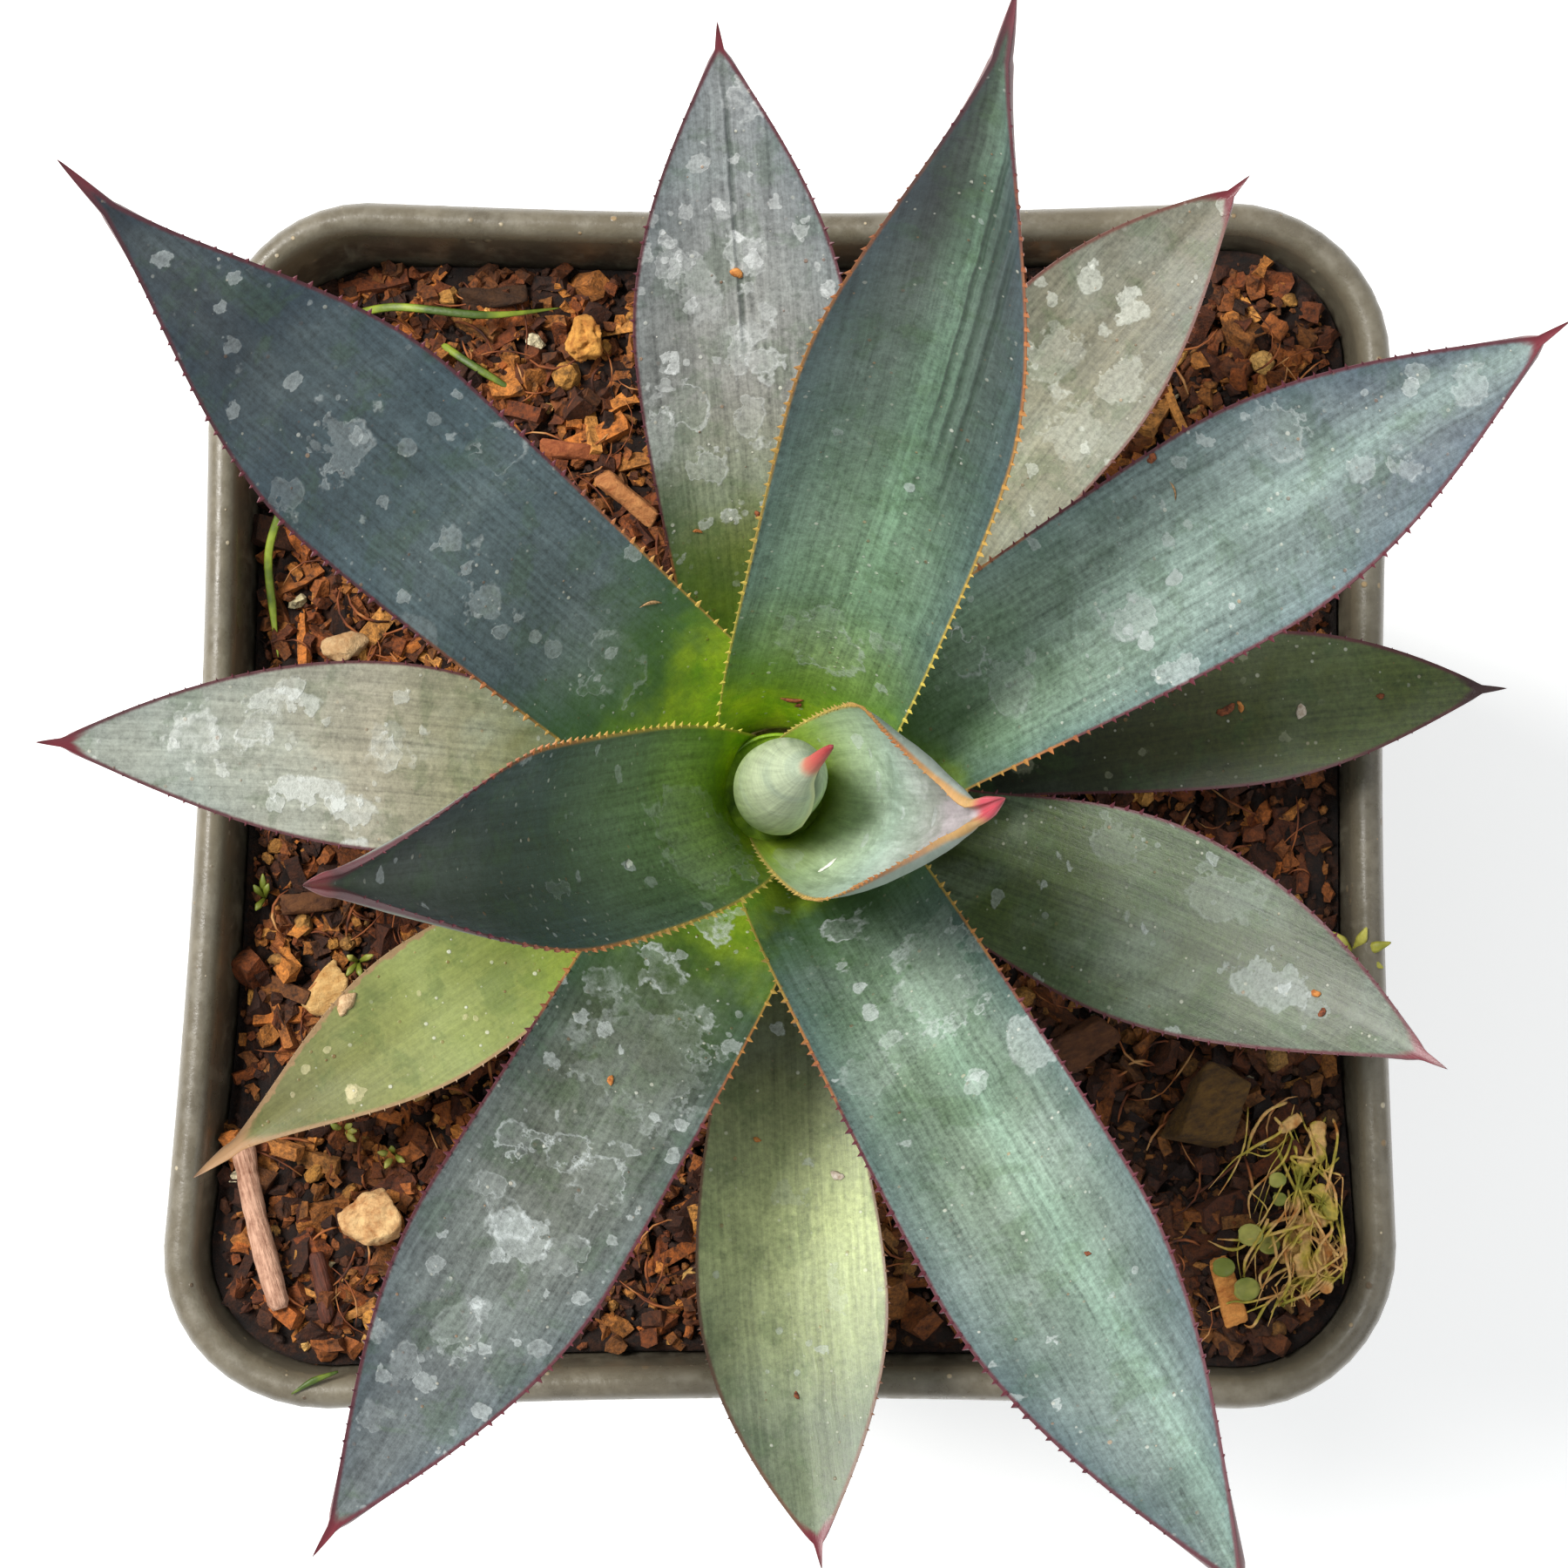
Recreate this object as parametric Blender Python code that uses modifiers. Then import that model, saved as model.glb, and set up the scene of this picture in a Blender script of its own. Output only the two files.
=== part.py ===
"""A potted agave: a young rosette of thick, pointed leaves in a square nursery pot.

The pot is one thin moulded shell with a turned-down rim and drain holes. It is filled with
a bark and pumice mix, in which a short stem is rooted. The leaves sit on the stem in one
spiral, the youngest on top round the rolled central spear, and each is one solid from its
seat to its spine. Chips, stones, twigs and blades of grass lie loose on the mix.

Metres, +Z up. The origin is on the table under the middle of the pot.
"""

import math
from dataclasses import dataclass

import bmesh
import bpy
import numpy as np

MM = 0.001

# ---- Driving dimensions ----

GAP = 0.3 * MM  # between pieces that touch
LOOSE_GAP = 0.55 * MM  # under a piece that lies on the uneven mix

POT_HEIGHT = 90 * MM
RIM_SIZE = 101 * MM  # across the rim, flat to flat
BASE_SIZE = 72 * MM  # across the base, flat to flat
WALL = 1.0 * MM
FLOOR = 1.6 * MM
RIM_LEDGE = 2.9 * MM  # how wide the rim is, seen from above
RIM_SKIRT = 6.5 * MM  # how far the rim turns down outside
RIM_CORNER = 13.5 * MM  # corner radius at the rim
BASE_CORNER = 9 * MM
SIDE_BOW = 0.9 * MM  # how far the sides are drawn in between the corners
SIDE_PUSH = 2.3 * MM  # how far the soft pot's -X side is pushed in at the back and out in front
DRAIN_RADIUS = 4.0 * MM
DRAIN_INSET = 13 * MM  # from the base's edge to a drain hole's middle

SOIL_DEPTH = 7.0 * MM  # from the rim down to the mix, at the stem

STEM_X = -1.0 * MM
STEM_Y = 0.3 * MM
STEM_CLEAR = 3.2 * MM  # of stem showing between the mix and the lowest leaf's seat
SEAT_DROP = 1.25 * MM  # each leaf sits this much under the one before
SEAT_TOP_RADIUS = 4.1 * MM
SEAT_LOW_RADIUS = 9.0 * MM
ROOT_DEPTH = 24 * MM
ROOT_RADIUS = 5.5 * MM

SPEAR_LENGTH = 31 * MM
SPEAR_RADIUS = 3.35 * MM
SPEAR_LEAN = 6.0  # degrees, towards SPEAR_AZIMUTH
SPEAR_AZIMUTH = 20.0

SPINE_RADIUS = 0.55 * MM
LEAF_WRAP = 17 * MM  # how far from its seat a leaf still bends round the stem
MOST_WRAP = 106.0  # degrees round the stem from a leaf's midrib to its margin, at the seat
CLASP_WIDTH = 0.92  # a leaf's width where it clasps the stem, as a share of its widest
CLASP_SHARE = 0.2  # how far along a leaf that clasping base reaches

# ---- Mesh detail ----

LEAF_RINGS = 14
LEAF_ACROSS = 7
CORNER_STEPS = 5
SIDE_STEPS = 4


@dataclass(frozen=True)
class Leaf:
    """One leaf, from its seat on the stem to the tip of its spine. Sizes in mm, angles in degrees."""

    name: str
    azimuth: float  # the way it grows, anticlockwise from +X
    length: float  # along the midrib
    width: float  # at its widest, over the curve of the blade
    neck: float  # width at the seat, as a share of the widest
    belly: float  # where along the midrib it is widest
    taper: float  # 1 is a blunt leaf, 2 one that draws out to a long tip
    thick: float  # at the seat, on the midrib
    rise: tuple[float, float, float]  # elevation of the midrib at seat, middle and tip
    channel: tuple[float, float]  # how far the margins turn up, at the middle and the tip
    sway: float = 0.0  # how far the midrib has turned anticlockwise at its tip
    roll: float = 0.0  # how far the blade has rolled about its midrib at its tip


# From the youngest, on top, to the oldest.
LEAVES = (
    Leaf("leaf_01", -16, 47.5, 16.5, 0.92, 0.42, 1.25, 1.5, (86, 74, 82), (48, 78), 14, 0),
    Leaf("leaf_02", 200, 64.5, 16.3, 0.94, 0.50, 1.30, 1.8, (80, 63, 70), (34, 66), -16, 0),
    Leaf("leaf_03", 69, 80.5, 17.0, 0.87, 0.50, 1.45, 2.2, (70, 54, 58), (24, 34), 10, -8),
    Leaf("leaf_04", 299.5, 83, 16.6, 0.88, 0.58, 0.95, 2.4, (62, 46, 50), (16, 26), 0, 8),
    Leaf("leaf_05", 141.5, 77, 16.8, 0.88, 0.56, 1.42, 2.5, (56, 41, 43), (12, 18), -5, 0),
    Leaf("leaf_06", 28.5, 72, 16.7, 0.82, 0.58, 0.95, 2.5, (52, 37, 38), (12, 18), 3.5, 0),
    Leaf("leaf_07", 241, 68.5, 15.8, 0.94, 0.57, 1.00, 2.6, (48, 33, 34), (12, 16), -5, 0),
    Leaf("leaf_08", 94.5, 57.5, 16.9, 0.72, 0.56, 0.95, 2.6, (44, 30, 30), (10, 14), 0, 0),
    Leaf("leaf_09", -18, 52.8, 16.2, 0.52, 0.48, 0.95, 2.6, (40, 26, 24), (10, 14), -14, 0),
    Leaf("leaf_10", 174, 53.3, 15.2, 0.50, 0.47, 0.90, 2.6, (36, 22, 22), (10, 14), 7, 0),
    Leaf("leaf_11", 58, 55.8, 14.9, 0.48, 0.60, 0.90, 2.6, (32, 19, 20), (10, 14), -16, 0),
    Leaf("leaf_12", 270.5, 54.8, 15.4, 0.48, 0.60, 0.90, 2.6, (28, 16, 18), (8, 12), 8, 0),
    Leaf("leaf_13", 12, 52, 12.5, 0.48, 0.60, 0.90, 2.5, (24, 13, 12), (8, 12), -11, 0),
    Leaf("leaf_14", 211, 48.8, 12.1, 0.62, 0.50, 1.25, 2.3, (20, 11, 9), (8, 12), 6.5, 0),
)


@dataclass(frozen=True)
class Loose:
    """A loose piece on the mix, as a rough block. Sizes in mm, yaw in degrees."""

    name: str
    x: float
    y: float
    length: float
    width: float
    height: float
    yaw: float
    round_share: float  # 0 is a splintered chip, 1 a rounded stone
    colour: tuple[float, float, float]


BARK = (0.16, 0.055, 0.025)
BARK_PALE = (0.36, 0.19, 0.09)
PUMICE = (0.62, 0.50, 0.32)

LOOSE = (
    Loose("pumice_1", -34.6, -34.7, 6.8, 5.4, 4.4, 20, 0.9, PUMICE),
    Loose("pumice_2", -17.4, 39.4, 5.6, 5.2, 3.6, 70, 0.9, PUMICE),
    Loose("pumice_3", -37.6, 13.2, 4.8, 3.2, 2.6, 5, 0.9, PUMICE),
    Loose("bark_chip_1", 34.5, -25.8, 8.8, 6.8, 2.8, 70, 0.15, BARK_PALE),
    Loose("bark_chip_2", 24.6, -20.5, 7.0, 4.0, 2.0, 35, 0.2, BARK),
    Loose("bark_chip_3", -18.3, 29.9, 6.4, 1.8, 1.4, -6, 0.1, BARK),
    Loose("bark_chip_4", -13.9, 26.0, 7.0, 2.2, 1.6, -42, 0.1, BARK_PALE),
    Loose("bark_chip_5", -26.0, 43.2, 8.0, 2.4, 2.0, 8, 0.2, BARK),
    Loose("bark_chip_6", 25.0, 39.6, 6.4, 3.2, 2.2, 20, 0.4, BARK_PALE),
    Loose("bark_chip_7", 36.3, -40.8, 6.6, 2.4, 1.6, -74, 0.1, BARK_PALE),
    Loose("bark_chip_8", -40.4, -8.2, 6.0, 2.4, 1.6, 8, 0.1, BARK),
    Loose("bark_chip_9", -39.0, -15.7, 5.4, 3.2, 1.6, 50, 0.3, BARK_PALE),
    Loose("bark_chip_10", 42.0, -36.6, 4.6, 2.2, 1.4, 66, 0.2, PUMICE),
)


@dataclass(frozen=True)
class Strand:
    """A twig or a blade of grass lying on the mix: a smooth line through points above it, in mm."""

    name: str
    points: tuple[tuple[float, float, float], ...]  # x, y and height over the mix
    radius: float
    colour: tuple[float, float, float]


STRANDS = (
    Strand(
        "twig_1",
        ((-46.0, -28.0, 1.9), (-44.6, -34.8, 1.3), (-42.4, -42.2, 1.5)),
        1.0,
        (0.42, 0.25, 0.15),
    ),
    Strand(
        "twig_2",
        ((-39.6, -37.6, 1.0), (-39.0, -40.2, 0.9), (-38.6, -43.4, 1.0)),
        0.7,
        (0.26, 0.10, 0.06),
    ),
    Strand(
        "grass_blade_1",
        ((-39.0, 41.6, 0.5), (-33.8, 42.2, 3.2), (-25.8, 41.4, 3.0), (-19.6, 42.4, 0.5)),
        0.34,
        (0.30, 0.36, 0.06),
    ),
    Strand(
        "grass_blade_2",
        ((-42.8, 24.6, 4.4), (-44.0, 21.0, 2.6), (-43.8, 16.4, 1.2), (-43.4, 12.4, 0.5)),
        0.34,
        (0.24, 0.34, 0.05),
    ),
    Strand(
        "grass_blade_3",
        ((-29.8, 39.4, 0.5), (-27.1, 37.4, 1.4), (-22.2, 34.4, 0.5)),
        0.3,
        (0.26, 0.34, 0.05),
    ),
)


# ---- Sizes worked out from the driving dimensions ----

LIP = 1.4 * MM  # height of the rounded top of the rim
SOIL_LEVEL = POT_HEIGHT - SOIL_DEPTH
LOWEST_SEAT = SOIL_LEVEL + STEM_CLEAR
TOP_SEAT = LOWEST_SEAT + SEAT_DROP * (len(LEAVES) - 1)


def smooth(share):
    """0 to 1, easing in and out, with share clipped to that range."""
    share = np.clip(share, 0.0, 1.0)
    return share * share * (3 - 2 * share)


def seat(index):
    """(radius, height) of a leaf's seat on the domed stem, counting the youngest as 0."""
    share = index / (len(LEAVES) - 1)
    radius = SEAT_TOP_RADIUS + (SEAT_LOW_RADIUS - SEAT_TOP_RADIUS) * (1 - (1 - share) ** 1.7)
    return radius, TOP_SEAT - SEAT_DROP * index


def soil_height(x, y):
    """Height of the mix. It is heaped at every side but the back and sunken in the -X +Y corner."""
    from_stem = math.hypot(x - STEM_X, y - STEM_Y)
    heap = 3.0 * smooth((x - 18 * MM) / (24 * MM)) + 2.6 * smooth((-y - 20 * MM) / (22 * MM))
    back = smooth((y - 18 * MM) / (26 * MM))
    left = smooth((-x - 18 * MM) / (26 * MM))
    heap += 1.0 * left
    hollow = 3.6 * back * left
    ripple = 0.5 * math.sin(x / (6.5 * MM) + 1.0) * math.cos(y / (8.0 * MM))
    height = SOIL_LEVEL + (heap - hollow + ripple * smooth((from_stem - 12 * MM) / (10 * MM))) * MM
    return min(height, POT_HEIGHT - 2.6 * MM)


# ---- Blender helpers ----


def clear_scene():
    """Empties the scene and makes the two collections that the model uses."""
    for obj in list(bpy.data.objects):
        bpy.data.objects.remove(obj, do_unlink=True)
    parts = bpy.data.collections.new("potted_agave")
    cutters = bpy.data.collections.new("cutters")
    for collection in (parts, cutters):
        bpy.context.scene.collection.children.link(collection)
    return parts, cutters


def material(name, colour, roughness, metallic=0.0):
    """A plain Principled material."""
    made = bpy.data.materials.new(name)
    made.use_nodes = True
    shader = made.node_tree.nodes["Principled BSDF"]
    shader.inputs["Base Color"].default_value = (*colour, 1.0)
    shader.inputs["Roughness"].default_value = roughness
    shader.inputs["Metallic"].default_value = metallic
    return made


def add_mesh(name, vertices, faces, collection, finish, smooth_angle=40):
    """A mesh object with outward normals, shaded smooth except over sharp edges."""
    mesh = bpy.data.meshes.new(name)
    mesh.from_pydata([tuple(v) for v in vertices], [], [tuple(f) for f in faces])
    shape = bmesh.new()
    shape.from_mesh(mesh)
    bmesh.ops.recalc_face_normals(shape, faces=shape.faces)
    shape.to_mesh(mesh)
    shape.free()
    mesh.shade_smooth()
    mesh.set_sharp_from_angle(angle=math.radians(smooth_angle))
    obj = bpy.data.objects.new(name, mesh)
    obj.data.materials.append(finish)
    collection.objects.link(obj)
    return obj


def loft(rings, point=None, crescent=False):
    """Vertices and faces of a closed solid through rings of equal count, capped at both ends.

    With point given, the last ring closes to that one point. A crescent's first cap is a strip
    from one of its horns to the other, because one face would reach across the bend.
    """
    count = len(rings[0])
    vertices = [v for ring in rings for v in ring]
    faces = []
    for k in range(len(rings) - 1):
        for j in range(count):
            nxt = (j + 1) % count
            faces.append((k * count + j, k * count + nxt, (k + 1) * count + nxt, (k + 1) * count + j))
    if crescent:
        far = count // 2
        faces += [(0, count - 1, 1), (far, far - 1, far + 1)]
        faces += [(j, count - j, count - j - 1, j + 1) for j in range(1, far - 1)]
    else:
        faces.append(tuple(reversed(range(count))))
    last = (len(rings) - 1) * count
    if point is None:
        faces.append(tuple(last + j for j in range(count)))
    else:
        vertices.append(point)
        faces += [(last + j, last + (j + 1) % count, len(vertices) - 1) for j in range(count)]
    return vertices, faces


# ---- The pot ----


def rounded_square(half, corner, bow, height):
    """Points anticlockwise round a square with round corners and drawn-in sides, one of them pushed."""
    points = []
    flat = half - corner
    for turn in range(4):
        across = np.array([math.cos(turn * math.pi / 2), math.sin(turn * math.pi / 2)])
        along = np.array([-across[1], across[0]])
        for k in range(SIDE_STEPS + 1):
            t = 2 * k / SIDE_STEPS - 1
            points.append(across * (half - bow * math.cos(t * math.pi / 2)) + along * flat * t)
        middle = (across + along) * flat
        for k in range(1, CORNER_STEPS):
            angle = k / CORNER_STEPS * math.pi / 2
            points.append(middle + corner * (across * math.cos(angle) + along * math.sin(angle)))
    ring = np.array([(x, y, height) for x, y in points])
    rim = RIM_SIZE / 2
    pushed = SIDE_PUSH * (ring[:, 1] / rim) * (ring[:, 0] / rim) * (1 - ring[:, 0] / rim) / 2
    ring[:, 0] -= pushed
    return ring


def wall_ring(height, outset=0.0):
    """The pot's inside at a height, which may differ from point to point, moved out by outset."""
    low_half = BASE_SIZE / 2 - WALL + outset
    top_half = RIM_SIZE / 2 - RIM_LEDGE + outset
    top = POT_HEIGHT - LIP
    low = rounded_square(low_half, BASE_CORNER - WALL + outset, 0.0, FLOOR)
    high = rounded_square(top_half, RIM_CORNER - RIM_LEDGE + outset, SIDE_BOW, top)
    share = (np.asarray(height) - FLOOR) / (top - FLOOR)
    return low + (high - low) * np.broadcast_to(share, len(low))[:, None]


def make_pot(collection, cutters, finish):
    """The shell: up the outside, over the rim, down the inside, with drain holes cut."""
    rim = RIM_SIZE / 2
    skirt = 1.1 * MM
    crown = 0.6 * MM
    under = POT_HEIGHT - 2.2 * MM
    turned_down = POT_HEIGHT - RIM_SKIRT

    def rim_ring(inset, height):
        return rounded_square(rim - inset, RIM_CORNER - inset, SIDE_BOW, height)

    rings = [
        rounded_square(BASE_SIZE / 2 - 0.8 * MM, BASE_CORNER - 0.8 * MM, 0.0, 0.0),
        wall_ring(FLOOR, WALL),
        wall_ring(turned_down - 1.5 * MM, WALL),
        wall_ring(under, WALL),
        rim_ring(skirt, under),
        rim_ring(skirt, turned_down),
        rim_ring(0.0, turned_down),
        rim_ring(0.0, POT_HEIGHT - LIP),
        rim_ring(crown, POT_HEIGHT - 0.4 * MM),
        rim_ring(RIM_LEDGE * 0.5, POT_HEIGHT),
        rim_ring(RIM_LEDGE - crown, POT_HEIGHT - 0.4 * MM),
        wall_ring(POT_HEIGHT - LIP),
        wall_ring(FLOOR),
    ]
    pot = add_mesh("pot", *loft(rings), collection, finish)
    at = BASE_SIZE / 2 - DRAIN_INSET
    for k in range(4):
        x = at * (1 if k in (0, 3) else -1)
        y = at * (1 if k in (0, 1) else -1)
        bpy.ops.mesh.primitive_cylinder_add(vertices=16, radius=DRAIN_RADIUS, depth=4 * FLOOR, location=(x, y, 0))
        cutter = bpy.context.object
        cutter.name = f"drain_cutter_{k + 1}"
        for owner in cutter.users_collection:
            owner.objects.unlink(cutter)
        cutters.objects.link(cutter)
        cutter.hide_render = True
        cutter.display_type = "WIRE"
        cut = pot.modifiers.new(f"drain_{k + 1}", "BOOLEAN")
        cut.operation = "DIFFERENCE"
        cut.object = cutter
    return pot


# ---- The mix and the stem ----


def stem_radius_in_soil():
    """Radius of the stem where it goes into the mix."""
    return seat(len(LEAVES) - 1)[0] - GAP


def make_soil(collection, finish):
    """The mix: it fills the pot to a hand-filled surface and has a socket that the stem's root fits."""
    rings = [wall_ring(height, -GAP) for height in (FLOOR + GAP, SOIL_LEVEL * 0.5)]
    socket = stem_radius_in_soil() + GAP
    floor = SOIL_LEVEL - ROOT_DEPTH - GAP
    edge = wall_ring(SOIL_LEVEL, -GAP)
    edge = wall_ring([soil_height(x, y) for x, y, _ in edge], -GAP)
    outline = edge[:, :2]
    round_socket = []
    for x, y in outline:
        angle = math.atan2(y - STEM_Y, x - STEM_X)
        round_socket.append((STEM_X + socket * math.cos(angle), STEM_Y + socket * math.sin(angle)))
    round_socket = np.array(round_socket)
    rings.append(edge)
    for share in (0.12, 0.25, 0.38, 0.52, 0.66, 0.8, 0.9, 1.0):
        ring = outline * (1 - share) + round_socket * share
        rings.append([(x, y, soil_height(x, y)) for x, y in ring])
    centre = np.array([STEM_X, STEM_Y])
    for shrink, height in ((1.0, (SOIL_LEVEL + floor) / 2), (ROOT_RADIUS / socket, floor)):
        ring = centre + (round_socket - centre) * shrink
        rings.append([(x, y, height) for x, y in ring])
    return add_mesh("potting_mix", *loft(rings), collection, finish)


def turned(name, profile, steps, collection, finish):
    """A turned solid about the stem's axis. The profile runs from its top to its bottom."""
    mesh = bpy.data.meshes.new(name)
    edges = [(k, k + 1) for k in range(len(profile) - 1)]
    mesh.from_pydata([(r, 0.0, z) for r, z in profile], edges, [])
    obj = bpy.data.objects.new(name, mesh)
    obj.location = (STEM_X, STEM_Y, 0.0)
    collection.objects.link(obj)
    screw = obj.modifiers.new("turn", "SCREW")
    screw.steps = screw.render_steps = steps
    screw.use_merge_vertices = True
    screw.merge_threshold = 0.00001
    obj.data.materials.append(finish)
    return obj


def make_stem(collection, finish):
    """The short domed stem that carries every leaf, with its root in the mix's socket."""
    profile = [(0.0, TOP_SEAT + 0.4 * MM), (2.6 * MM, TOP_SEAT + 0.2 * MM)]
    for index in range(len(LEAVES)):
        radius, height = seat(index)
        profile.append((radius - 2.4 * GAP, height))
    inside = stem_radius_in_soil() - GAP
    profile.append((inside, SOIL_LEVEL - ROOT_DEPTH / 2))
    profile.append((ROOT_RADIUS - 2 * GAP, SOIL_LEVEL - ROOT_DEPTH + 2 * GAP))
    profile.append((0.0, SOIL_LEVEL - ROOT_DEPTH + GAP))
    return turned("stem", profile, 28, collection, finish)


# ---- The rosette ----


def make_spear(collection, finish):
    """The unopened leaves rolled into one spear at the middle, leaning a little."""
    foot = TOP_SEAT + 0.4 * MM + GAP
    lean = math.radians(SPEAR_LEAN)
    heading = math.radians(SPEAR_AZIMUTH)
    rings = []
    sides = 14
    # share of the length, share of the radius
    for along, wide in ((0.0, 0.86), (0.12, 0.97), (0.3, 1.0), (0.48, 0.93), (0.64, 0.74), (0.77, 0.48), (0.86, 0.25), (0.93, 0.13)):
        shift = SPEAR_LENGTH * along * math.tan(lean) * along
        x = STEM_X + shift * math.cos(heading)
        y = STEM_Y + shift * math.sin(heading)
        radius = SPEAR_RADIUS * wide
        height = foot + SPEAR_LENGTH * along
        ring = []
        for k in range(sides):
            angle = 2 * math.pi * k / sides
            ring.append((x + radius * math.cos(angle), y + radius * math.sin(angle), height))
        rings.append(ring)
    shift = SPEAR_LENGTH * math.tan(lean)
    tip = (STEM_X + shift * math.cos(heading), STEM_Y + shift * math.sin(heading), foot + SPEAR_LENGTH)
    return add_mesh("central_spear", *loft(rings, tip), collection, finish)


def leaf_midrib(leaf, index, stations):
    """Points and directions along a leaf's midrib, at these shares of its length."""
    fine = np.linspace(0.0, 1.0, 401)
    rise_seat, rise_middle, rise_tip = leaf.rise
    rise = (
        rise_middle
        + (rise_seat - rise_middle) * (1 - np.clip(fine / 0.35, 0, 1)) ** 2
        + (rise_tip - rise_middle) * np.clip((fine - 0.5) / 0.5, 0, 1) ** 2
    )
    rise = np.radians(rise)
    heading = np.radians(leaf.azimuth + leaf.sway * fine**1.5)
    tangent = np.stack(
        [np.cos(rise) * np.cos(heading), np.cos(rise) * np.sin(heading), np.sin(rise)],
        axis=1,
    )
    step = (tangent[1:] + tangent[:-1]) / 2 * leaf.length * MM / (len(fine) - 1)
    path = np.vstack([np.zeros(3), np.cumsum(step, axis=0)])
    radius, height = seat(index)
    first = math.radians(leaf.azimuth)
    path += np.array([radius * math.cos(first), radius * math.sin(first), height])
    pick = lambda column: np.interp(stations, fine, column)
    points = np.stack([pick(path[:, k]) for k in range(3)], axis=1)
    tangents = np.stack([pick(tangent[:, k]) for k in range(3)], axis=1)
    return points, tangents / np.linalg.norm(tangents, axis=1)[:, None], pick(heading)


def leaf_half_width(leaf, stations):
    """Half the blade's width over its curve, at these shares of its length."""
    inner = leaf.neck + (1 - leaf.neck) * smooth(stations / leaf.belly)
    outer = np.cos(np.clip((stations - leaf.belly) / (0.97 - leaf.belly), 0, 1) * math.pi / 2) ** leaf.taper
    clasp = np.maximum(CLASP_WIDTH - leaf.neck, 0) * np.clip(1 - stations / CLASP_SHARE, 0, 1) ** 2
    blade = leaf.width * MM / 2 * np.where(stations < leaf.belly, inner + clasp, outer)
    spine = SPINE_RADIUS * np.clip((1 - stations) / 0.07, 0, 1) ** 0.8
    return np.maximum(blade, spine)


def leaf_surfaces(leaf, index, stations, across):
    """Points on the upper and the lower side, each as stations by across by 3, about the stem's axis."""
    middle, tangent, heading = leaf_midrib(leaf, index, stations)
    half = leaf_half_width(leaf, stations)
    away = stations * leaf.length * MM
    # near its seat the blade bends round the stem; further out it has a channel of its own
    own = smooth(away / LEAF_WRAP)
    turn_up = np.radians(np.interp(stations, [0.0, 0.5, 0.94, 1.0], [leaf.channel[0]] * 2 + [leaf.channel[1], 0.0]))
    turn_up = np.maximum(turn_up, 0.01)
    roll = np.radians(leaf.roll * stations**1.5)
    side = np.stack([-np.sin(heading), np.cos(heading), np.zeros_like(heading)], axis=1)
    up = np.cross(tangent, side)
    lateral = side * np.cos(roll)[:, None] + up * np.sin(roll)[:, None]
    inward = up * np.cos(roll)[:, None] - side * np.sin(roll)[:, None]
    radius = np.hypot(middle[:, 0], middle[:, 1])
    upper = np.zeros((len(stations), len(across), 3))
    for j, u in enumerate(across):
        arc = half / turn_up
        channelled = (
            middle
            + lateral * (arc * np.sin(turn_up * u))[:, None]
            + inward * (arc * (1 - np.cos(turn_up * u)))[:, None]
        )
        angle = np.minimum(half / radius, math.radians(MOST_WRAP)) * u
        wrapped = np.stack(
            [
                middle[:, 0] * np.cos(angle) - middle[:, 1] * np.sin(angle),
                middle[:, 0] * np.sin(angle) + middle[:, 1] * np.cos(angle),
                middle[:, 2],
            ],
            axis=1,
        )
        upper[:, j] = wrapped * (1 - own)[:, None] + channelled * own[:, None]
    along_s = np.gradient(upper, axis=0)
    along_u = np.gradient(upper, axis=1)
    normal = np.cross(along_s, along_u)
    normal /= np.maximum(np.linalg.norm(normal, axis=2), 1e-12)[:, :, None]
    thick = leaf.thick * MM * (1 - 0.5 * stations)
    thick = np.minimum(thick, 1.7 * half)
    lens = 1 - np.abs(across) ** 3
    lower = upper - normal * thick[:, None, None] * lens[None, :, None]
    return upper, lower


def make_leaf(leaf, index, collection, finish):
    """One leaf as a closed solid: a lens-shaped section lofted from its seat to its spine."""
    stations = (1 - np.cos(np.linspace(0, math.pi, LEAF_RINGS + 1))) / 2
    across = np.sin(np.linspace(-math.pi / 2, math.pi / 2, LEAF_ACROSS) * 0.999)
    across /= across[-1]
    upper, lower = leaf_surfaces(leaf, index, stations, across)
    offset = np.array([STEM_X, STEM_Y, 0.0])
    rings = []
    for k in range(LEAF_RINGS):
        rings.append(list(upper[k] + offset) + list(lower[k][-2:0:-1] + offset))
    tip = tuple(upper[-1][LEAF_ACROSS // 2] + offset)
    return add_mesh(leaf.name, *loft(rings, tip, crescent=True), collection, finish)


# ---- What lies loose on the mix ----


def rest_height(points):
    """The lowest height at which these (x, y, z) points all stay a gap above the mix."""
    return max(soil_height(x, y) - z for x, y, z in points) + LOOSE_GAP


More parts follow.
